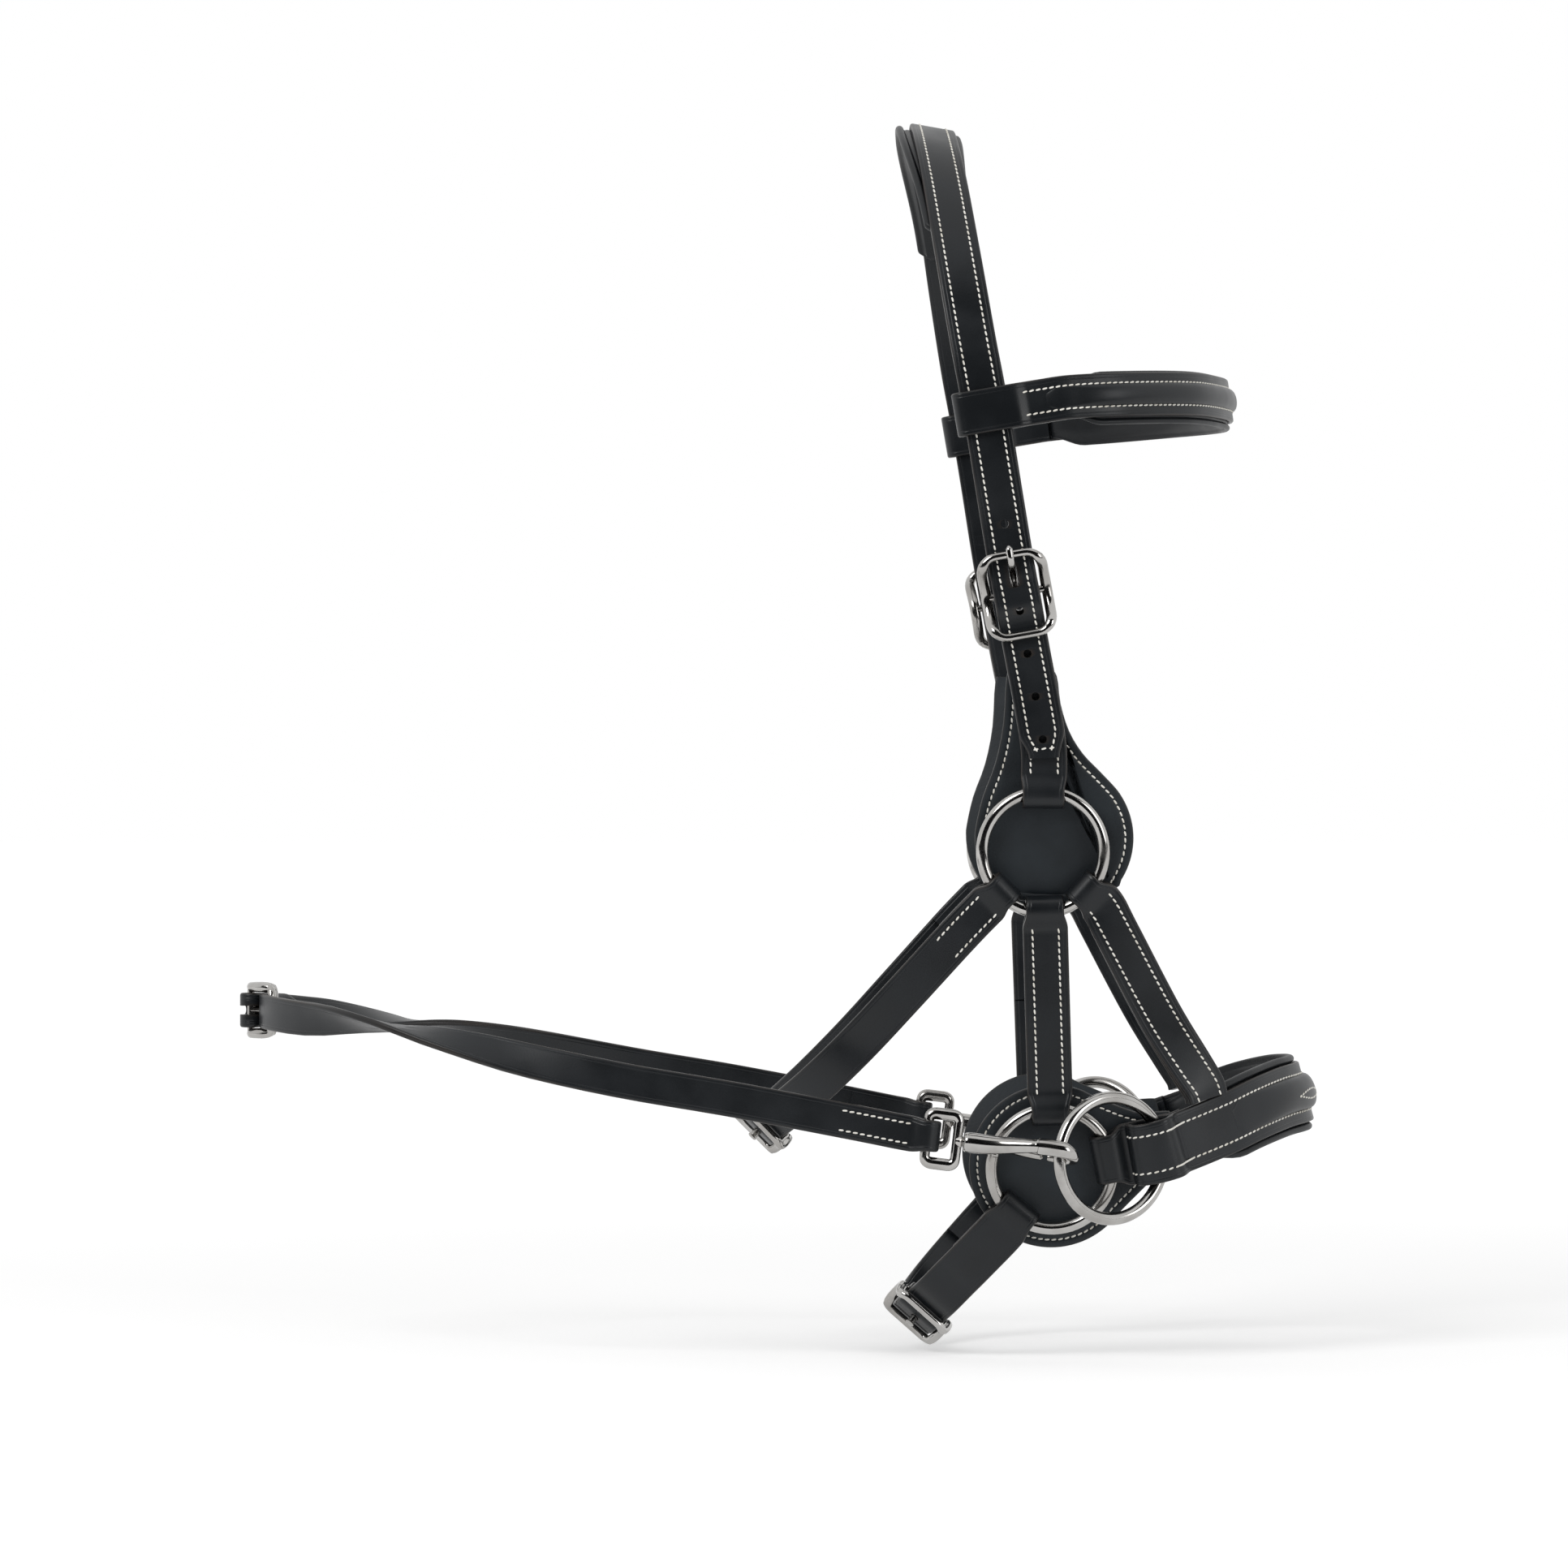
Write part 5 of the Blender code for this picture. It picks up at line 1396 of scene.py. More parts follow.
@dataclass
class Browband:
    """The brow strap with its sleeves, lining and raised roll."""

    route: Route
    width: float = 19.0 * MM
    row: float = 5.0 * MM
    sleeve: float = 21.4 * MM
    lining_half: float = 11.6 * MM
    lining_thickness: float = 4.0 * MM

    def build(self) -> None:
        """Makes the band, its lining, its roll and its stitching."""
        brow, outer = self.route, layer_offset()
        turn = fold(0, BILLET_LEATHER / 2, self.sleeve, 1, TAPER, play=0.7 * MM)
        half = turned_back(22 * MM, turn, outer) + run(turn[-1][0], brow.length / 2, outer)
        strap = Strap(brow, brow.whole(half), lambda s: self.width / 2)
        show(strap.build("browband_strap"), Body.BROWBAND, Slot.LEATHER, "browband")
        lining = Padding(brow, 23.0 * MM, outer - LEATHER / 2 - LINING_SEAT, Body.BROWBAND, 0.6,
                         rise=-1.2 * MM, blunt=16 * MM)
        lining.build("browband_padding", "browband_lining",
                     lambda share: lining_section(self.lining_half, self.lining_thickness, 1.2 * MM))
        roll = Padding(brow, 14.0 * MM, outer + LEATHER / 2 - ROLL_SEAT, Body.BROWBAND, 0.8, Slot.LEATHER)
        roll.build("browband_raised_roll", "browband_roll", lambda share: roll_section(
            self.row - 0.2 * MM, (0.5 + 2.3 * ease(min(share, 1 - share) * 9)) * MM))
        rows = strap.rows(5 * MM, brow.length - 5 * MM, self.row)
        show(NEEDLE.sew("browband_stitches", rows), Body.BROWBAND, Slot.LEATHER)


@dataclass
class Safe:
    """A leather safe behind a ring: a flat outline with a stitched rim and a soft middle."""

    outline: list[tuple[float, float]]
    centre: Vector
    seat: float = 6.1 * MM
    rim: float = 3.6 * MM

    def inside(self, points: Sequence[Vector], depth: float) -> list[Vector]:
        """The outline moved inwards.

        Args:
            points: the outline, anticlockwise.
            depth: how far.

        Returns:
            As many points.
        """
        moved = []
        for i, point in enumerate(points):
            along = (points[(i + 1) % len(points)] - points[i - 1]).normalized()
            moved.append(point + Vector((-along.y, along.x, 0)) * depth)
        return moved

    def build(self, name: str) -> tuple[Object, Row]:
        """Makes the safe and finds its stitch row.

        Args:
            name: the piece's name.

        Returns:
            The safe and the row.
        """
        closed = [Vector((x, y, 0)) for x, y in self.outline]
        line = smooth([closed[-1], *closed, closed[0], closed[1]], 3)[3:-4]
        area = sum(a.x * b.y - b.x * a.y for a, b in zip(line, [*line[1:], line[0]]))
        if area < 0:
            line.reverse()
        face = SAFE_LEATHER / 2
        steps = ((0.9 * MM, -face), (0.25 * MM, -face + 0.3 * MM), (0.0, -face + 0.9 * MM),
                 (0.0, face - 0.9 * MM), (0.25 * MM, face - 0.3 * MM), (0.9 * MM, face), (2.4 * MM, face),
                 (3.1 * MM, face - 0.15 * MM), (3.6 * MM, face - 0.5 * MM), (4.1 * MM, face - 0.2 * MM),
                 (5.2 * MM, face - 0.05 * MM), (6.4 * MM, face))
        origin = cheek(self.centre, 0, 0, -self.seat - face)

        def layer(depth: float, lift: float) -> list[Vector]:
            """The outline moved inwards, in place at a height from the safe's middle."""
            return [origin + X * point.x + UP * point.y + OUT * lift for point in self.inside(line, depth)]

        piece = skin(name, [layer(depth, lift) for depth, lift in steps], SAFE_FINISH,
                     edge=[[depth] * len(line) for depth, _ in steps])
        row = [(point, OUT.copy()) for point in layer(self.rim, face - 0.25 * MM)]
        return piece, [*row, row[0]]


@dataclass
class SideOfHead:
    """The near rings, safes and the straps between them, and their far twins."""

    nose: Route
    width: float = 19.6 * MM

    def ring(self, name: str, centre: Vector, normal: Vector, away: Vector, body: Body, node: str) -> None:
        """Makes a pair of rings.

        Args:
            name: the near ring's name.
            centre: its centre.
            normal: the way through it.
            away: a way in its plane.
            body: what it rides on.
            node: the node that it replaces.
        """
        other = normal.cross(away)
        count = 144
        angles = [math.tau * i / count for i in range(count)]
        line = [centre + (away * math.cos(angle) + other * math.sin(angle)) * RING_RADIUS for angle in angles]
        piece = sweep(name, line, normal, RING_WIRE, STEEL, cyclic=True, sides=24)
        show_pair(piece, body, Slot.STEEL, node)

    def safes(self) -> None:
        """The cheek safes and the lower safes."""
        radius, shift = 34.5 * MM, 5.0 * MM
        arc = [polar(radius, t, shift) for t in range(-40, 41, 8)]
        neck = [(x * radius, z * radius) for x, z in (
            (0.71, 1.00), (0.50, 1.22), (0.33, 1.50), (0.22, 1.85), (0.17, 2.20), (0.06, 2.26),
            (-0.36, 2.26), (-0.46, 2.20), (-0.50, 1.60), (-0.60, 1.10), (-0.76, 0.66))]
        back = [polar(radius, t, shift) for t in range(172, 221, 8)]
        foot = [(x * radius, z * radius) for x, z in ((-0.30, -0.64), (0.40, -0.66))]
        safe, row = Safe([*arc, *neck, *back, *foot], UPPER_RING).build("near_cheek_safe_leather")
        show_pair(safe, Body.BRIDLE, Slot.LEATHER, "near_cheek_safe")
        hidden = [(place - UPPER_RING).dot(UP) < -14 * MM for place, _ in row]
        turn = next(i for i in range(len(row)) if hidden[i - 1] and not hidden[i])
        row = (row[turn:-1] + row[:turn])[:hidden[:-1].count(False)]
        radius = 36.0 * MM
        arc = [polar(radius, t) for t in range(60, 325, 8)]
        tongue = [(x * radius, z * radius) for x, z in (
            (1.30, -0.10), (1.46, -0.05), (1.50, 0.20), (1.46, 0.63), (1.30, 0.67), (1.00, 0.67))]
        safe, other = Safe([*arc, *tongue], LOWER_RING).build("near_lower_safe_leather")
        show_pair(safe, Body.BRIDLE, Slot.LEATHER, "near_lower_safe")
        show_pair(NEEDLE.sew("near_safe_stitches", [row, other]), Body.BRIDLE, Slot.LEATHER)

    def show_strap(self, name: str, strap: Strap, start: float, stop: float) -> None:
        """Shows a pair of side or front straps with their stitching.

        Args:
            name: the near strap's node.
            strap: how it is laid.
            start: where its stitching starts.
            stop: where that stops.
        """
        show_pair(strap.build(f"{name}_leather"), Body.BRIDLE, Slot.LEATHER, name)
        rows = strap.rows(start, stop, self.width / 2 - ROW_INSET)
        show_pair(NEEDLE.sew(f"{name}_stitches", rows), Body.BRIDLE, Slot.LEATHER)

    def side_strap(self) -> None:
        """The doubled strap from ring to ring."""
        way = (LOWER_RING - UPPER_RING).normalized()
        start, stop = UPPER_RING + way * RING_RADIUS, LOWER_RING - way * RING_RADIUS
        route = Route([start, start.lerp(stop, 0.5), stop], [X, X, X])
        narrow, length = 8.2 * MM, route.length
        first = fold(0, RING_WIRE, sagitta(narrow), 1)
        last = fold(length, RING_WIRE, sagitta(narrow), -1)
        width = tapered(self.width / 2, (0, 1, narrow, TAPER), (length, -1, narrow, TAPER))
        strap = Strap(route, doubled(first, last, length / 2), width)
        self.show_strap("near_side_strap", strap, 8 * MM, length - 8 * MM)

    def front_strap(self) -> None:
        """The doubled strap from the upper ring to the noseband."""
        nose = self.nose
        meets = nose.marks[2] + (nose.marks[4] - nose.marks[2]) * 0.485
        _, nose_along, nose_across, _ = nose.at(meets)
        end = nose.place(meets, CLEARANCE + SEAM / 2 + LEATHER, 14.4 * MM)
        start, away, wire = on_ring(UPPER_RING, -42.5)
        middle, bend = cheek(UPPER_RING, 51.0 * MM, -72.0 * MM, -3.0 * MM), end + nose_across * 5.0 * MM
        line = [start, start + away * LEAD_OUT, cheek(UPPER_RING, 32.6 * MM, -36.5 * MM), middle,
                middle.lerp(bend, 0.7), bend, end]
        shares = (0.0, 0.0, 0.12, 0.3, 0.6, 0.92, 1.0)
        route = Route(line, [wire.lerp(nose_along, share) for share in shares])
        narrow, outer = 7.3 * MM, layer_offset()
        first = fold(0, RING_WIRE, sagitta(narrow), 1)
        profile = turned_back(route.length, first, outer) + run(first[-1][0], route.length, outer)
        strap = Strap(route, profile, tapered(self.width / 2, (0, 1, narrow, TAPER)))
        self.show_strap("near_front_strap", strap, 7 * MM, route.length - 1 * MM)

    def build(self) -> None:
        """Makes both sides of the head."""
        self.safes()
        self.ring("near_upper_ring_wire", UPPER_RING, OUT, X, Body.BRIDLE, "near_upper_ring")
        self.ring("near_lower_ring_wire", LOWER_RING, OUT, X, Body.BRIDLE, "near_lower_ring")
        self.side_strap()
        self.front_strap()


@dataclass
class Noseband:
    """The nose strap with its pockets, lining and raised roll."""

    route: Route
    width: float = 27.0 * MM
    row: float = 8.2 * MM
    limb: float = 5.2 * MM
    lining_half: float = 17.2 * MM
    lining_thickness: float = 6.0 * MM
    roll_half: float = 74.0 * MM
    leaf_size: tuple[float, float] = (27 * MM, 2.1 * MM)

    def bulge(self, s: float) -> float:
        """How far a layer stands out round the rein ring's limb at a distance along the band."""
        beyond = max(0.0, abs(s - (self.route.marks[2] - 2.6 * MM)) - self.limb) / TAPER
        return (self.limb + LEATHER / 2 - layer_offset()) * (1 - ease(beyond))

    def leaf(self, height: float, sense: int) -> Row:
        """One side of the long leaf sewn on the roll's front.

        Args:
            height: the roll's top above the route.
            sense: 1 for the upper side, -1 for the lower.

        Returns:
            The row.
        """
        row, count = [], 18
        reach, half = self.leaf_size
        for i in range(-count, count + 1):
            s = self.route.length / 2 + reach * i / count
            a = sense * half * abs(math.sin(math.pi * i / count)) - 1.3 * MM
            low = 4.3 * MM * (1 - (1 - (a / (self.row - 0.4 * MM)) ** 2) ** 0.425) + 0.1 * MM
            row.append((self.route.place(s, height - low, a), self.route.at(s)[3]))
        return row

    def long_stitches(self, strap: Strap, start: float, stop: float) -> None:
        """The four long stitches that cross the hollow beside the pockets.

        Args:
            strap: the noseband.
            start: where a stitch leaves the pocket.
            stop: where it goes back into the leather.
        """
        bits, steps, length = [], 12, self.route.length
        shape = [min(1.0, 0.4 + min(i, steps - i) * 0.6) for i in range(steps + 1)]
        sizes = [(0.42 * MM * grown, 0.31 * MM * grown) for grown in shape]
        for low, high in ((start, stop), (length - stop, length - start)):
            for sense in (-1, 1):
                lay = [strap.surface(low + (high - low) * i / steps, sense * self.row, 0.12 * MM)
                       for i in range(steps + 1)]
                chords = [lay[0][0].lerp(lay[-1][0], i / steps) for i in range(steps + 1)]
                line = [chord if (chord - point).dot(out) > 0 else point
                        for chord, (point, out) in zip(chords, lay)]
                bits.append(sweep("noseband_long_stitches", line, [out for _, out in lay], sizes, THREAD,
                                  sides=8))
        show(joined(bits), Body.BRIDLE, Slot.LEATHER)

    def build(self) -> None:
        """Makes the band, its lining, its roll and its stitching."""
        nose, outer = self.route, layer_offset()
        length, inner_end, narrow, count = nose.length, nose.marks[2] + 13.5 * MM, 10.5 * MM, 24
        turn = fold(0, RING_WIRE, sagitta(narrow), 1, TAPER)
        pocket = [TAPER + (inner_end - TAPER) * i / count for i in range(1, count + 1)]
        half = [(s, -outer - self.bulge(s)) for s in reversed(pocket)] + turn
        half += [(s, outer + self.bulge(s)) for s in pocket] + run(inner_end, length / 2, outer)
        width = tapered(self.width / 2, (0, 1, narrow, TAPER), (length, -1, narrow, TAPER))
        strap = Strap(nose, nose.whole(half), width)
        show(strap.build("noseband_strap"), Body.BRIDLE, Slot.LEATHER, "noseband")
        lining = Padding(nose, inner_end + 0.6 * MM, outer - LEATHER / 2 - LINING_SEAT, Body.BRIDLE, 0.65,
                         blunt=26 * MM)
        lining.build("noseband_padding", "noseband_lining",
                     lambda share: lining_section(self.lining_half, self.lining_thickness))
        roll = Padding(nose, length / 2 - self.roll_half, outer + LEATHER / 2 - ROLL_SEAT, Body.BRIDLE, 0.8,
                       Slot.LEATHER)
        roll.build("noseband_raised_roll", "noseband_roll", lambda share: roll_section(
            self.row - 0.4 * MM, (0.6 + 3.7 * ease(min(share, 1 - share) * 3.4)) * MM))
        leave, back, end = nose.marks[2] + 2.4 * MM, nose.marks[2] + 11.6 * MM, 11 * MM
        stops = ((end, leave), (back, length - back), (length - leave, length - end))
        rows = [strap.row(start, stop, sense * self.row) for sense in (-1, 1) for start, stop in stops]
        self.long_stitches(strap, leave, back)
        rows += [self.leaf(outer + LEATHER / 2 + 4.2 * MM, sense) for sense in (-1, 1)]
        show(NEEDLE.sew("noseband_stitches", rows), Body.BRIDLE, Slot.LEATHER)


@dataclass
class BuckledStrap:
    """A near billet and a far strap closed by a stud buckle."""

    name: str
    route: Route
    width: float
    bar: float
    wire: float
    back: float
    narrow: float
    turn_backs: float
    leather: float = LEATHER
    buckle_length: float = 27.0 * MM
    tail: float = 32.0 * MM
    row_inset: float = 3.6 * MM
    stitched: bool = True

    def __post_init__(self) -> None:
        """Finds the offsets that the billet, the holder and the buckle share."""
        self.outer = layer_offset(self.leather)
        self.resting = SEAM / 2 + self.leather + CLEARANCE + self.leather / 2
        self.arm = self.buckle_length / 2 - BUCKLE_WIRE

    def billet(self) -> Strap:
        """The near strap, which lies over the bar and ends in a free tail.

        Returns:
            The laid strap.
        """
        leather, bar, arm, outer, resting = self.leather, self.bar, self.arm, self.outer, self.resting
        first = fold(0, self.wire, self.back, 1, leather=leather)
        tail, steps = bar + arm + self.tail, 24
        climb = first[-1][0] + self.turn_backs
        profile = turned_back(self.turn_backs, first, outer) + run(first[-1][0], climb, outer)
        meets = max(climb + 7 * MM, bar - arm - 8 * MM)
        profile += [(climb + (meets - climb) * i / steps, outer + (resting - outer) * ease(i / steps))
                    for i in range(1, steps + 1)]
        profile += run(meets, bar - arm, resting)[:-1]
        profile += over_bar(bar, arm, resting, BUCKLE_BAR + CLEARANCE + leather + CLEARANCE + leather / 2)
        profile += run(profile[-1][0], tail, resting)
        ends = (0, 1, self.narrow, TAPER), (tail, -1, self.width / 2 * 0.62, 12 * MM)
        return Strap(self.route, profile, tapered(self.width / 2, *ends), leather)

    def holder(self) -> Strap:
        """The far strap, folded round the buckle's bar.

        Returns:
            The laid strap.
        """
        length, outer = self.route.length, self.outer
        far = fold(length, self.wire, self.back, -1, leather=self.leather)
        near = fold(self.bar, BUCKLE_BAR, 0, 1, leather=self.leather, play=CLEARANCE)
        profile = turned_back(self.bar + self.arm + 24 * MM, near, outer)
        profile += run(near[-1][0], far[-1][0], outer)[:-1] + list(reversed(far))
        profile += run(far[0][0], length - self.turn_backs, -outer)
        width = tapered(self.width / 2, (length, -1, self.narrow, TAPER))
        return Strap(self.route, profile, width, self.leather)

    def pieces(self, near: str, far: str, buckle: str) -> tuple[Strap, Strap, list[Object]]:
        """Makes the punched straps and the buckle.

        Args:
            near: the billet's piece name.
            far: the strap's piece name.
            buckle: the buckle's piece name.

        Returns:
            How the two straps are laid, and the three pieces.
        """
        laid = self.billet(), self.holder()
        made = [cut(strap.build(name), [self.route.stadium(self.bar, slot, 2.0 * MM)])
                for strap, name, slot in zip(laid, (near, far), (HOLE_LENGTH, 11 * MM))]
        rise = self.resting + self.leather / 2 + CLEARANCE + BUCKLE_WIRE
        shape = WireBuckle(self.width + 8.8 * MM, self.buckle_length, 5.0 * MM, rise, stud=2.1 * MM)
        return *laid, [*made, shape.build(buckle, self.route, self.bar)]

    def build(self, body: Body) -> None:
        """Makes the straps, their buckle and their stitching on one body.

        Args:
            body: what they ride on.
        """
        name, length, inset = self.name, self.route.length, self.width / 2 - self.row_inset
        near, far, made = self.pieces(f"{name}_billet_leather", f"{name}_strap_leather",
                                      f"{name}_buckle_frame")
        for piece, node in zip(made, ("billet", "strap", "buckle")):
            show(piece, body, Slot.STEEL if node == "buckle" else Slot.LEATHER, f"{name}_{node}")
        if not self.stitched:
            return
        rows = near.rows(8 * MM, self.turn_backs + 4 * MM, inset)
        rows += far.rows(length - self.turn_backs - 4 * MM, length - 8 * MM, inset)
        rows += far.rows(self.bar + 12 * MM, self.bar + 32 * MM, inset)
        show(NEEDLE.sew(f"{name}_stitches", rows), body, Slot.LEATHER)


@dataclass
class SnapHook:
    """The near rein ring, its snap hook and their far twins."""

    nose: Route
    turn: float = 29.5
    climb: float = 5.4
    roll: float = 22.0
    neck: float = 42.0 * MM
    length: float = 58.0 * MM

    def __post_init__(self) -> None:
        """Finds the hook's own directions: h back to the rein, w from gate to spine, k between them."""
        self.pivot = self.nose.place(self.nose.marks[2], -1.7 * MM, -4.0 * MM)
        self.away = turned(-X, -Y, self.turn)
        self.place = self.pivot + (self.away + turned(self.away, Z, self.climb)) * RING_RADIUS
        self.h = Vector((-1, 0.02, 0.125)).normalized()
        self.upright = (Z - self.h * Z.dot(self.h)).normalized()
        outward = self.upright.cross(self.h)
        self.w = turned(-outward if outward.y > 0 else outward, self.upright, self.roll)
        self.k = self.h.cross(self.w)
        self.bight = (RING_WIRE + LOOP_PLAY + 2.9 * MM) / math.cos(math.radians(self.roll))

    def at(self, h: float, w: float = 0, k: float = 0) -> Vector:
        """A point in the hook's own directions."""
        return self.place + self.h * h + self.w * w + self.k * k

    def body(self) -> None:
        """The hook's barrel and beak."""
        neck, bight, count = self.neck, self.bight, 24
        spine = ((1.0, 0.0, 3.0), (0.985, 0.0, 4.2), (0.93, 0.0, 4.6), (0.80, 0.02, 4.5), (0.62, 0.22, 4.0),
                 (0.44, 0.58, 3.45), (0.31, 0.85, 3.15), (0.235, 0.96, 3.05), (0.228, 0.965, 3.75),
                 (0.13, 1.0, 3.75))
        line = smooth([Vector((h * neck, w * bight, r * MM)) for h, w, r in spine], 5)
        droop = [0.0] * len(line)
        for i in range(1, count + 1):
            angle = math.pi * (0.5 + i / count)
            radius = (3.7 - 1.9 * ease(i / 13)) * MM
            line.append(Vector((bight * math.cos(angle), bight * math.sin(angle), radius)))
            droop.append(-1.6 * MM * math.sin(math.pi * i / count))
        end = 5.4 * MM
        line += [Vector((end * share, -bight, radius * MM)) for share, radius in
                 ((0.4, 1.8), (0.8, 1.75), (0.95, 1.4), (1.0, 0.7))]
        droop += [0.0] * (len(line) - len(droop))
        points = [self.at(p.x, p.y, k) for p, k in zip(line, droop)]
        sizes = [(p.z, p.z * 0.96) for p in line]
        body = sweep("near_snap_hook_body", points, self.k, sizes, STEEL, sides=28)
        show_pair(body, Body.NEAR_RING, Slot.STEEL, "near_hook_body")

    def gate(self) -> None:
        """The sprung gate and its rivet."""
        start, drop = self.neck * 0.66, 1.6 * MM
        tip, low = 7.0 * MM, -self.bight + 0.2 * MM
        places = ((start + 2.4 * MM, -drop), (start, -drop), (start - 6 * MM, -drop - 1.2 * MM),
                  (start - 13 * MM, -self.bight * 0.82), (tip + 3 * MM, low), (tip, low))
        line = smooth([Vector((h, w, 0)) for h, w in places], 6)
        count = len(line) - 1
        sizes = []
        for i in range(count + 1):
            share = i / count
            swell = 2.1 + 0.5 * math.sin(math.pi * share) - 0.7 * ease((share - 0.85) / 0.15)
            round_end = min(1.0, 0.45 + min(i, count - i) / 3)
            sizes.append((swell * MM * round_end, 1.5 * MM * round_end))
        gate = sweep("near_snap_hook_gate", [self.at(p.x, p.y) for p in line], self.k, sizes, STEEL)
        show_pair(gate, Body.NEAR_GATE, Slot.STEEL, "near_hook_gate")
        reach = 4.5 * MM
        shape = [(-1.02, 0.5), (-0.98, 1.2), (-0.9, 1.5), (0.9, 1.5), (0.98, 1.2), (1.02, 0.5)]
        rivet = lathed("near_snap_hook_rivet", shape, lambda k: self.at(start, -drop, reach * k), self.h)
        show_pair(rivet, Body.NEAR_RING, Slot.STEEL, "near_hook_rivet")

    def eye(self) -> None:
        """The rein's eye and its swivel shank."""
        wire, length, width = 2.2 * MM, 17.6 * MM, 26.0 * MM
        middle = self.length - length / 2 + wire
        line = round_corners(length / 2 - wire, width / 2 - wire, 3.0 * MM)
        points = [self.place + self.h * (middle + s) + self.upright * a for s, a in line]
        sizes = [(wire * (1.0 + 0.2 * ease((abs(a) / (width / 2) - 0.6) / 0.2)), wire) for _, a in line]
        eye = sweep("near_rein_eye", points, self.h.cross(self.upright), sizes, STEEL, cyclic=True)
        inner = middle - length / 2 + wire
        shape = [(self.neck - 8 * MM, 1.8), (self.neck + 0.2 * MM, 1.8), (self.neck + 0.8 * MM, 2.9),
                 (inner - 1.2 * MM, 3.2), (inner + 0.6 * MM, 2.4)]
        show_pair(joined([eye, lathed("shank", shape, self.at, self.w)]), Body.NEAR_RING, Slot.STEEL,
                  "near_hook_eye")

    def build(self, sides: SideOfHead) -> None:
        """Makes the rein ring and the hook.

        Args:
            sides: what makes the rings.
        """
        sides.ring("near_rein_ring_wire", self.pivot + self.away * RING_RADIUS, Z.cross(self.away), self.away,
                   Body.NEAR_RING, "near_rein_ring")
        self.body()
        self.gate()
        self.eye()

    def rein_route(self) -> Route:
        """From the near hook's eye back, round behind and forward to the far hook's eye.

        Returns:
            The reins' route.
        """
        start = self.at(self.length) + self.upright * 0.8 * MM
        places = [Vector(point) * MM for point in (
            (-38.0, -100.5, -428.8), (-88.0, -101.0, -419.3), (-133.0, -100.5, -411.8),
            (-175.0, -97.0, -404.0), (-215.0, -89.0, -396.5), (-250.0, -75.0, -391.2),
            (-280.0, -50.0, -387.0), (-297.0, -25.0, -384.4), (-303.0, 0.0, -383.6))]
        points = both([start, start + self.h * LEAD_OUT, *places])
        ways = [-self.upright, -self.upright]
        for i, degrees in enumerate((0.0, 0.0, 4.0, 22.0, 62.0, 116.0, 168.0, 180.0, 180.0)):
            along = (points[i + 3] - points[i + 1]).normalized()
            upright = (Z - along * Z.dot(along)).normalized()
            ways.append(turned(-upright, along.cross(-upright), degrees))
        return Route(points, both(ways))


@dataclass
class Reins:
    """The two reins and the buckle that joins them behind the neck."""

    route: Route
    width: float = 15.4 * MM
    leather: float = 3.0 * MM
    row_inset: float = 3.4 * MM
    bend: tuple[float, float] = (20 * MM, 240 * MM)

    def declare(self, piece: Object, strap: Strap, start: float, stop: float,
                others: Sequence[Object]) -> None:
        """Finds the path along a rein's middle and its length, which nothing uses.

        Args:
            piece: not used.
            strap: how it is laid.
            start: where it leaves its hook.
            stop: where it ends.
            others: not used.
        """
        count = 40
        places = [start + (stop - start) * i / count for i in range(count + 1)]
        path = [strap.surface(s, 0, -self.leather / 2)[0] for s in places]
        length = sum((there - here).length for here, there in zip(path, path[1:]))
        tuple(path[0])
        [tuple(point) for point in path]

    def build(self) -> None:
        """Makes the reins, their buckle and their stitching."""
        route, bar = self.route, self.route.length / 2
        shape = BuckledStrap("rein", route, self.width, bar, 2.2 * MM, 0.0, 6.7 * MM, 32 * MM, self.leather)
        near, far, made = shape.pieces("near_rein_leather", "far_rein_leather", "rein_buckle_frame")
        near_piece, far_piece, buckle = made
        show(near_piece, None, Slot.LEATHER, "rein_billet")
        show(far_piece, None, Slot.LEATHER, "rein_strap")
        show(buckle, Body.BRIDLE, Slot.STEEL, "rein_buckle")
        for piece, body, strap, at, last, others in (
                (near_piece, Body.NEAR_RING, near, lambda s: s, bar + 43 * MM, [buckle]),
                (far_piece, Body.FAR_RING, far, lambda s: route.length - s, bar, [])):
            rows = strap.rows(at(9 * MM), at(37 * MM), self.width / 2 - self.row_inset)
            sewn = show(NEEDLE.sew(piece.name.replace("leather", "stitches"), rows), None, Slot.LEATHER)
            self.declare(piece, strap, at(0.0), last, [sewn, *others])
            low, high = (tuple(route.place(at(s))) for s in self.bend)
            for bent in (piece, sewn):
                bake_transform(bent)
                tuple(low)
                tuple(high)


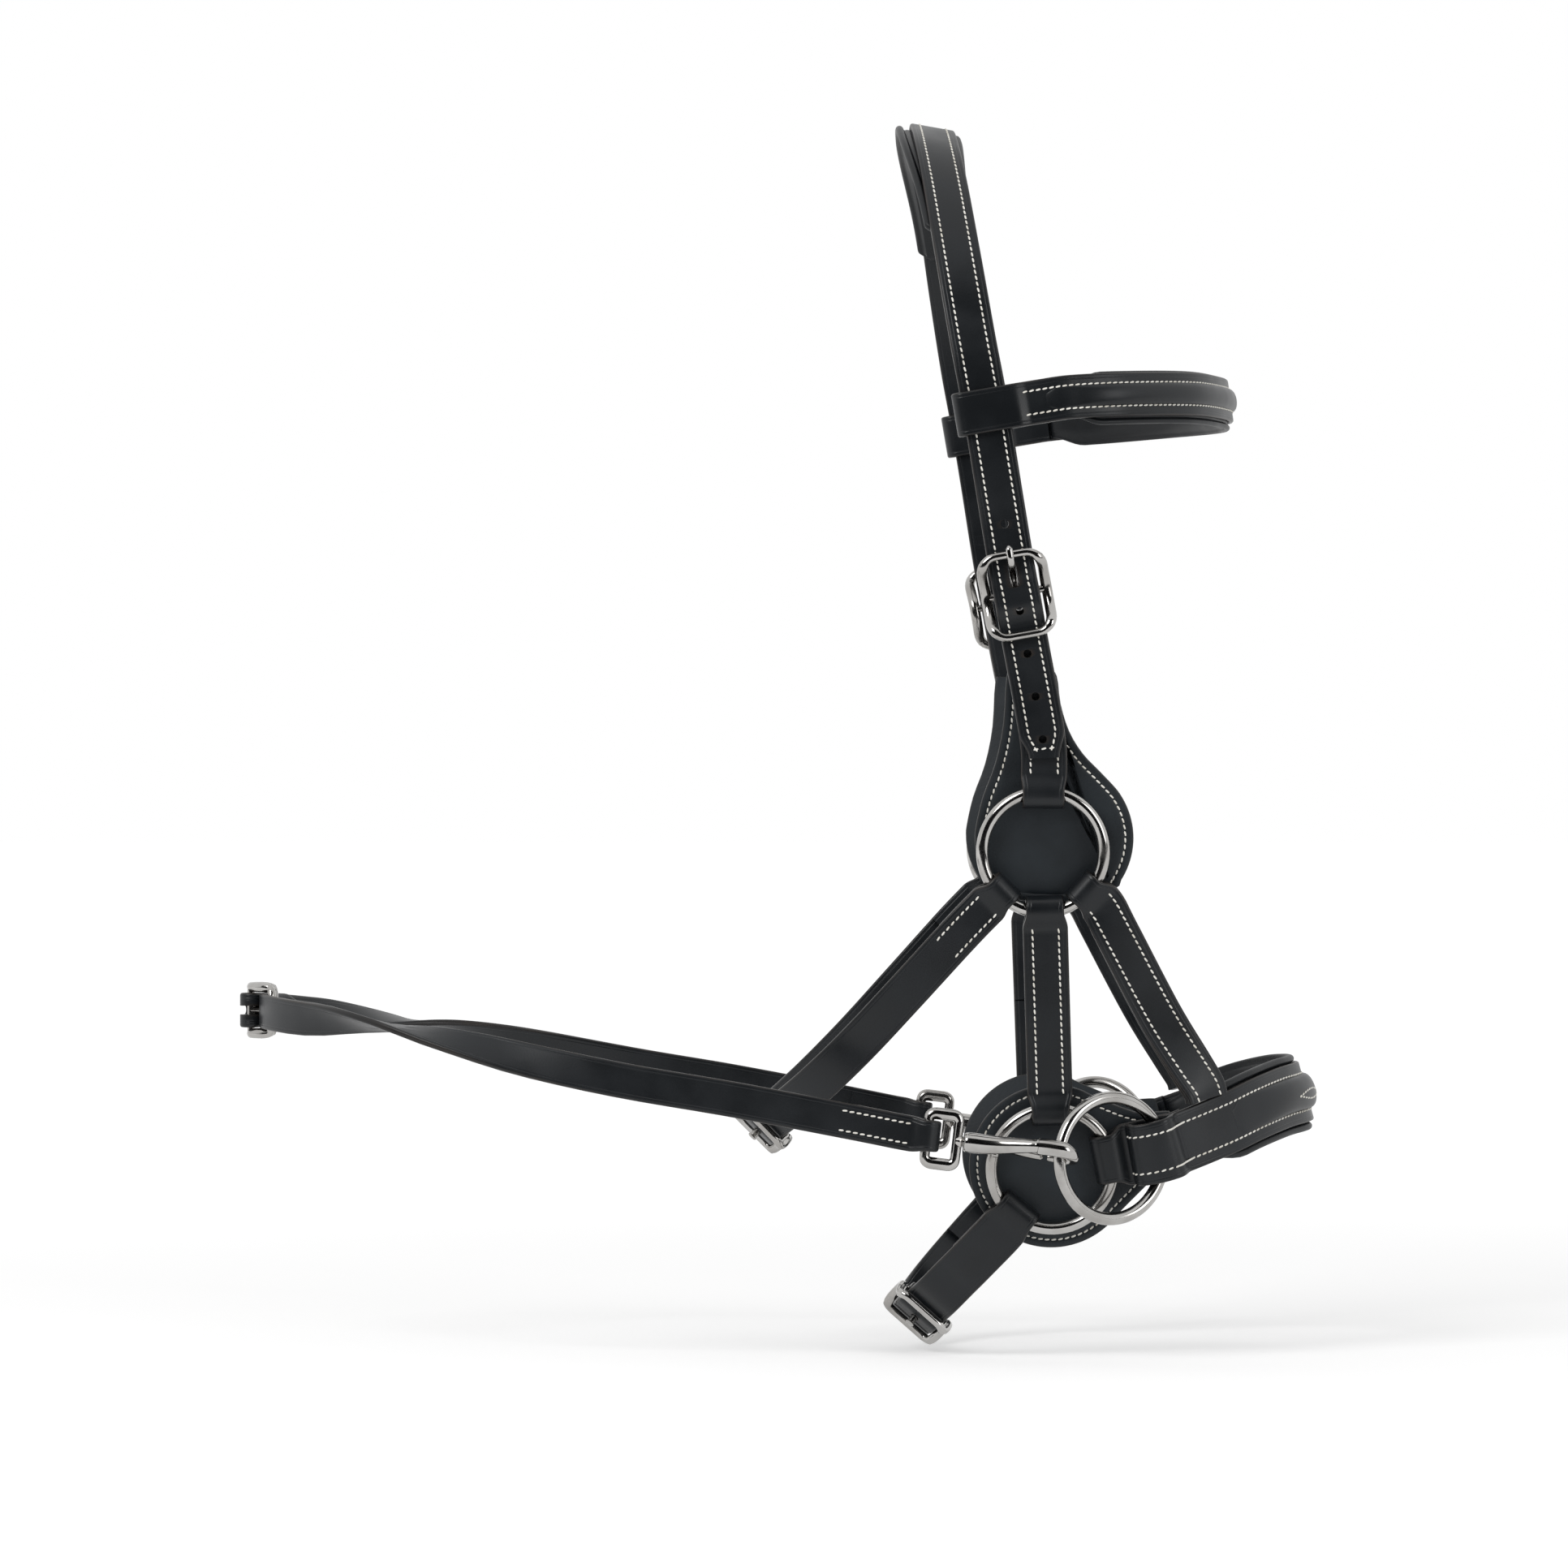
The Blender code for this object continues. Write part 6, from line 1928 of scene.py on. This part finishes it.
@dataclass
class Studio:
    """Camera, floor, backdrop and soft lights."""

    distance: float = 3.5
    lens: float = 180.5
    sensor: float = 36.0
    floor_half: float = 30.0
    floor_drop: float = 4 * MM
    floor_lift: tuple[float, float] = (0.36, 0.60)
    flag_half: float = 6.0
    flag_top: float = 5.0
    flag_front: float = -0.7

    def camera(self) -> None:
        """A level camera that looks at the near side."""
        data = bpy.data.cameras.new("camera")
        data.lens = self.lens
        data.sensor_width = self.sensor
        obj = new_object("camera", data)
        obj.location = (-0.0657, -self.distance, -0.283)
        obj.rotation_euler = (math.radians(90), 0, 0)
        bpy.context.scene.camera = obj

    def lamp(self, name: str, place: Sequence[float], size: tuple[float, float], power: float) -> None:
        """A soft rectangular lamp that points at the bridle.

        Args:
            name: its name.
            place: where it stands.
            size: its width and height.
            power: in watts.
        """
        data = bpy.data.lights.new(name, "AREA")
        data.shape = "RECTANGLE"
        data.size, data.size_y = size
        data.energy = power
        obj = new_object(name, data)
        obj.location = place
        obj.rotation_euler = (Vector((0.0, 0.0, -0.3)) - Vector(place)).to_track_quat("-Z", "Y").to_euler()

    def panel(self, name: str, corners: Sequence[Sequence[float]],
              material: Material) -> Object:
        """A flat four-cornered piece of the studio.

        Args:
            name: its name.
            corners: its corners in order.
            material: its finish.

        Returns:
            The new object.
        """
        mesh = bpy.data.meshes.new(name)
        mesh.from_pydata([tuple(corner) for corner in corners], [], [(0, 1, 2, 3)])
        mesh.materials.append(material)
        obj = new_object(name, mesh)
        return obj

    def seen(self, tree: NodeTree) -> NodeSocket:
        """One where a ray is the camera's or a mirrored one, and nought for light."""
        rays = tree.nodes.new("ShaderNodeLightPath").outputs
        mirrored_too = math_node(tree, "MAXIMUM", rays["Is Camera Ray"], rays["Is Glossy Ray"])
        return math_node(tree, "MAXIMUM", mirrored_too, rays["Is Transmission Ray"])

    def floor(self) -> None:
        """A pale floor that meets the white surround and keeps the bridle's shadow."""
        half, height = self.floor_half, CAD_BOX[0][2] - self.floor_drop
        material, tree, shader = start_material("pale_floor")
        away = add_node(tree, "ShaderNodeVectorMath", {0: on_object(tree)}, operation="LENGTH")
        lift = ranged(tree, away.outputs["Value"], 0.4, 2.2, *self.floor_lift)
        fill(tree, shader, {"Base Color": (0.80, 0.80, 0.80, 1), "Roughness": 0.9, "Specular IOR Level": 0.0,
                            "Emission Color": (1, 1, 1, 1),
                            "Emission Strength": math_node(tree, "MULTIPLY", self.seen(tree), lift)})
        self.panel("floor", [(-half, -half, height), (half, -half, height), (half, half, height),
                             (-half, half, height)], material)

    def flag(self) -> None:
        """A dark cloth behind the camera, which the leather and the steel mirror."""
        material, tree, shader = start_material("dark_flag")
        fill(tree, shader, {"Base Color": (0.012, 0.012, 0.013, 1), "Roughness": 1.0,
                            "Specular IOR Level": 0.0})
        half, near, low = self.flag_half, -self.distance - 0.6, CAD_BOX[0][2] - 0.003
        foot = [(-half, near, low), (half, near, low)]
        for name, far in (("flag", [(half, near, self.flag_top), (-half, near, self.flag_top)]),
                          ("flag_foot", [(half, self.flag_front, low), (-half, self.flag_front, low)])):
            cloth = self.panel(name, foot + far, material)
            cloth.visible_camera = False
            cloth.visible_diffuse = False
            cloth.visible_shadow = False

    def world(self) -> None:
        """A white surround for what is seen and mirrored, and a mild one for light."""
        world = bpy.data.worlds.new("studio")
        world.use_nodes = True
        bpy.context.scene.world = world
        tree = world.node_tree
        fill(tree, tree.nodes["Background"],
             {"Color": (1, 1, 1, 1), "Strength": ranged(tree, self.seen(tree), 0.0, 1.0, 0.55, 1.0)})

    def build(self) -> None:
        """Sets up the studio."""
        self.camera()
        self.floor()
        self.flag()
        self.world()
        self.lamp("key", (-1.4, -2.0, 1.3), (1.2, 1.2), 34.0)
        self.lamp("fill", (1.8, -1.8, 0.2), (0.9, 1.6), 16.0)
        bpy.context.scene.view_settings.view_transform = "Standard"


def main() -> None:
    """Builds the studio and the bridle in order."""
    logging.basicConfig(level=logging.INFO, format="%(message)s")
    Studio().build()
    nose = nose_route()
    hook = SnapHook(nose)
    Reins(hook.rein_route()).build()
    head = head_route()
    Headstall(head).build()
    Browband(brow_route(head)).build()
    sides = SideOfHead(nose)
    sides.build()
    hook.build(sides)
    Noseband(nose).build()
    jaw_shares = ((0.124, 0.955), (0.374, 0.89), (0.60, 0.79), (0.787, 0.63), (0.925, 0.39), (0.985, 0.18))
    jaw = cradle_route(UPPER_RING, -136.0, jaw_shares, 90 * MM, 120 * MM, 120 * MM, 20 * MM)
    BuckledStrap("jaw", jaw, 18 * MM, jaw.length / 2 - 14 * MM, RING_WIRE, sagitta(7 * MM), 7 * MM,
                 28 * MM).build(Body.JAW)
    chin_shares = ((0.20, 0.91), (0.487, 0.79), (0.727, 0.61), (0.904, 0.35), (0.98, 0.16))
    chin = cradle_route(LOWER_RING, -129.0, chin_shares, 74 * MM, 59 * MM, 67 * MM)
    BuckledStrap("chin", chin, 21 * MM, chin.length / 2 - 30 * MM, RING_WIRE, sagitta(9 * MM), 9 * MM,
                 30 * MM, stitched=False).build(Body.CHIN)


if __name__ == "__main__":
    main()
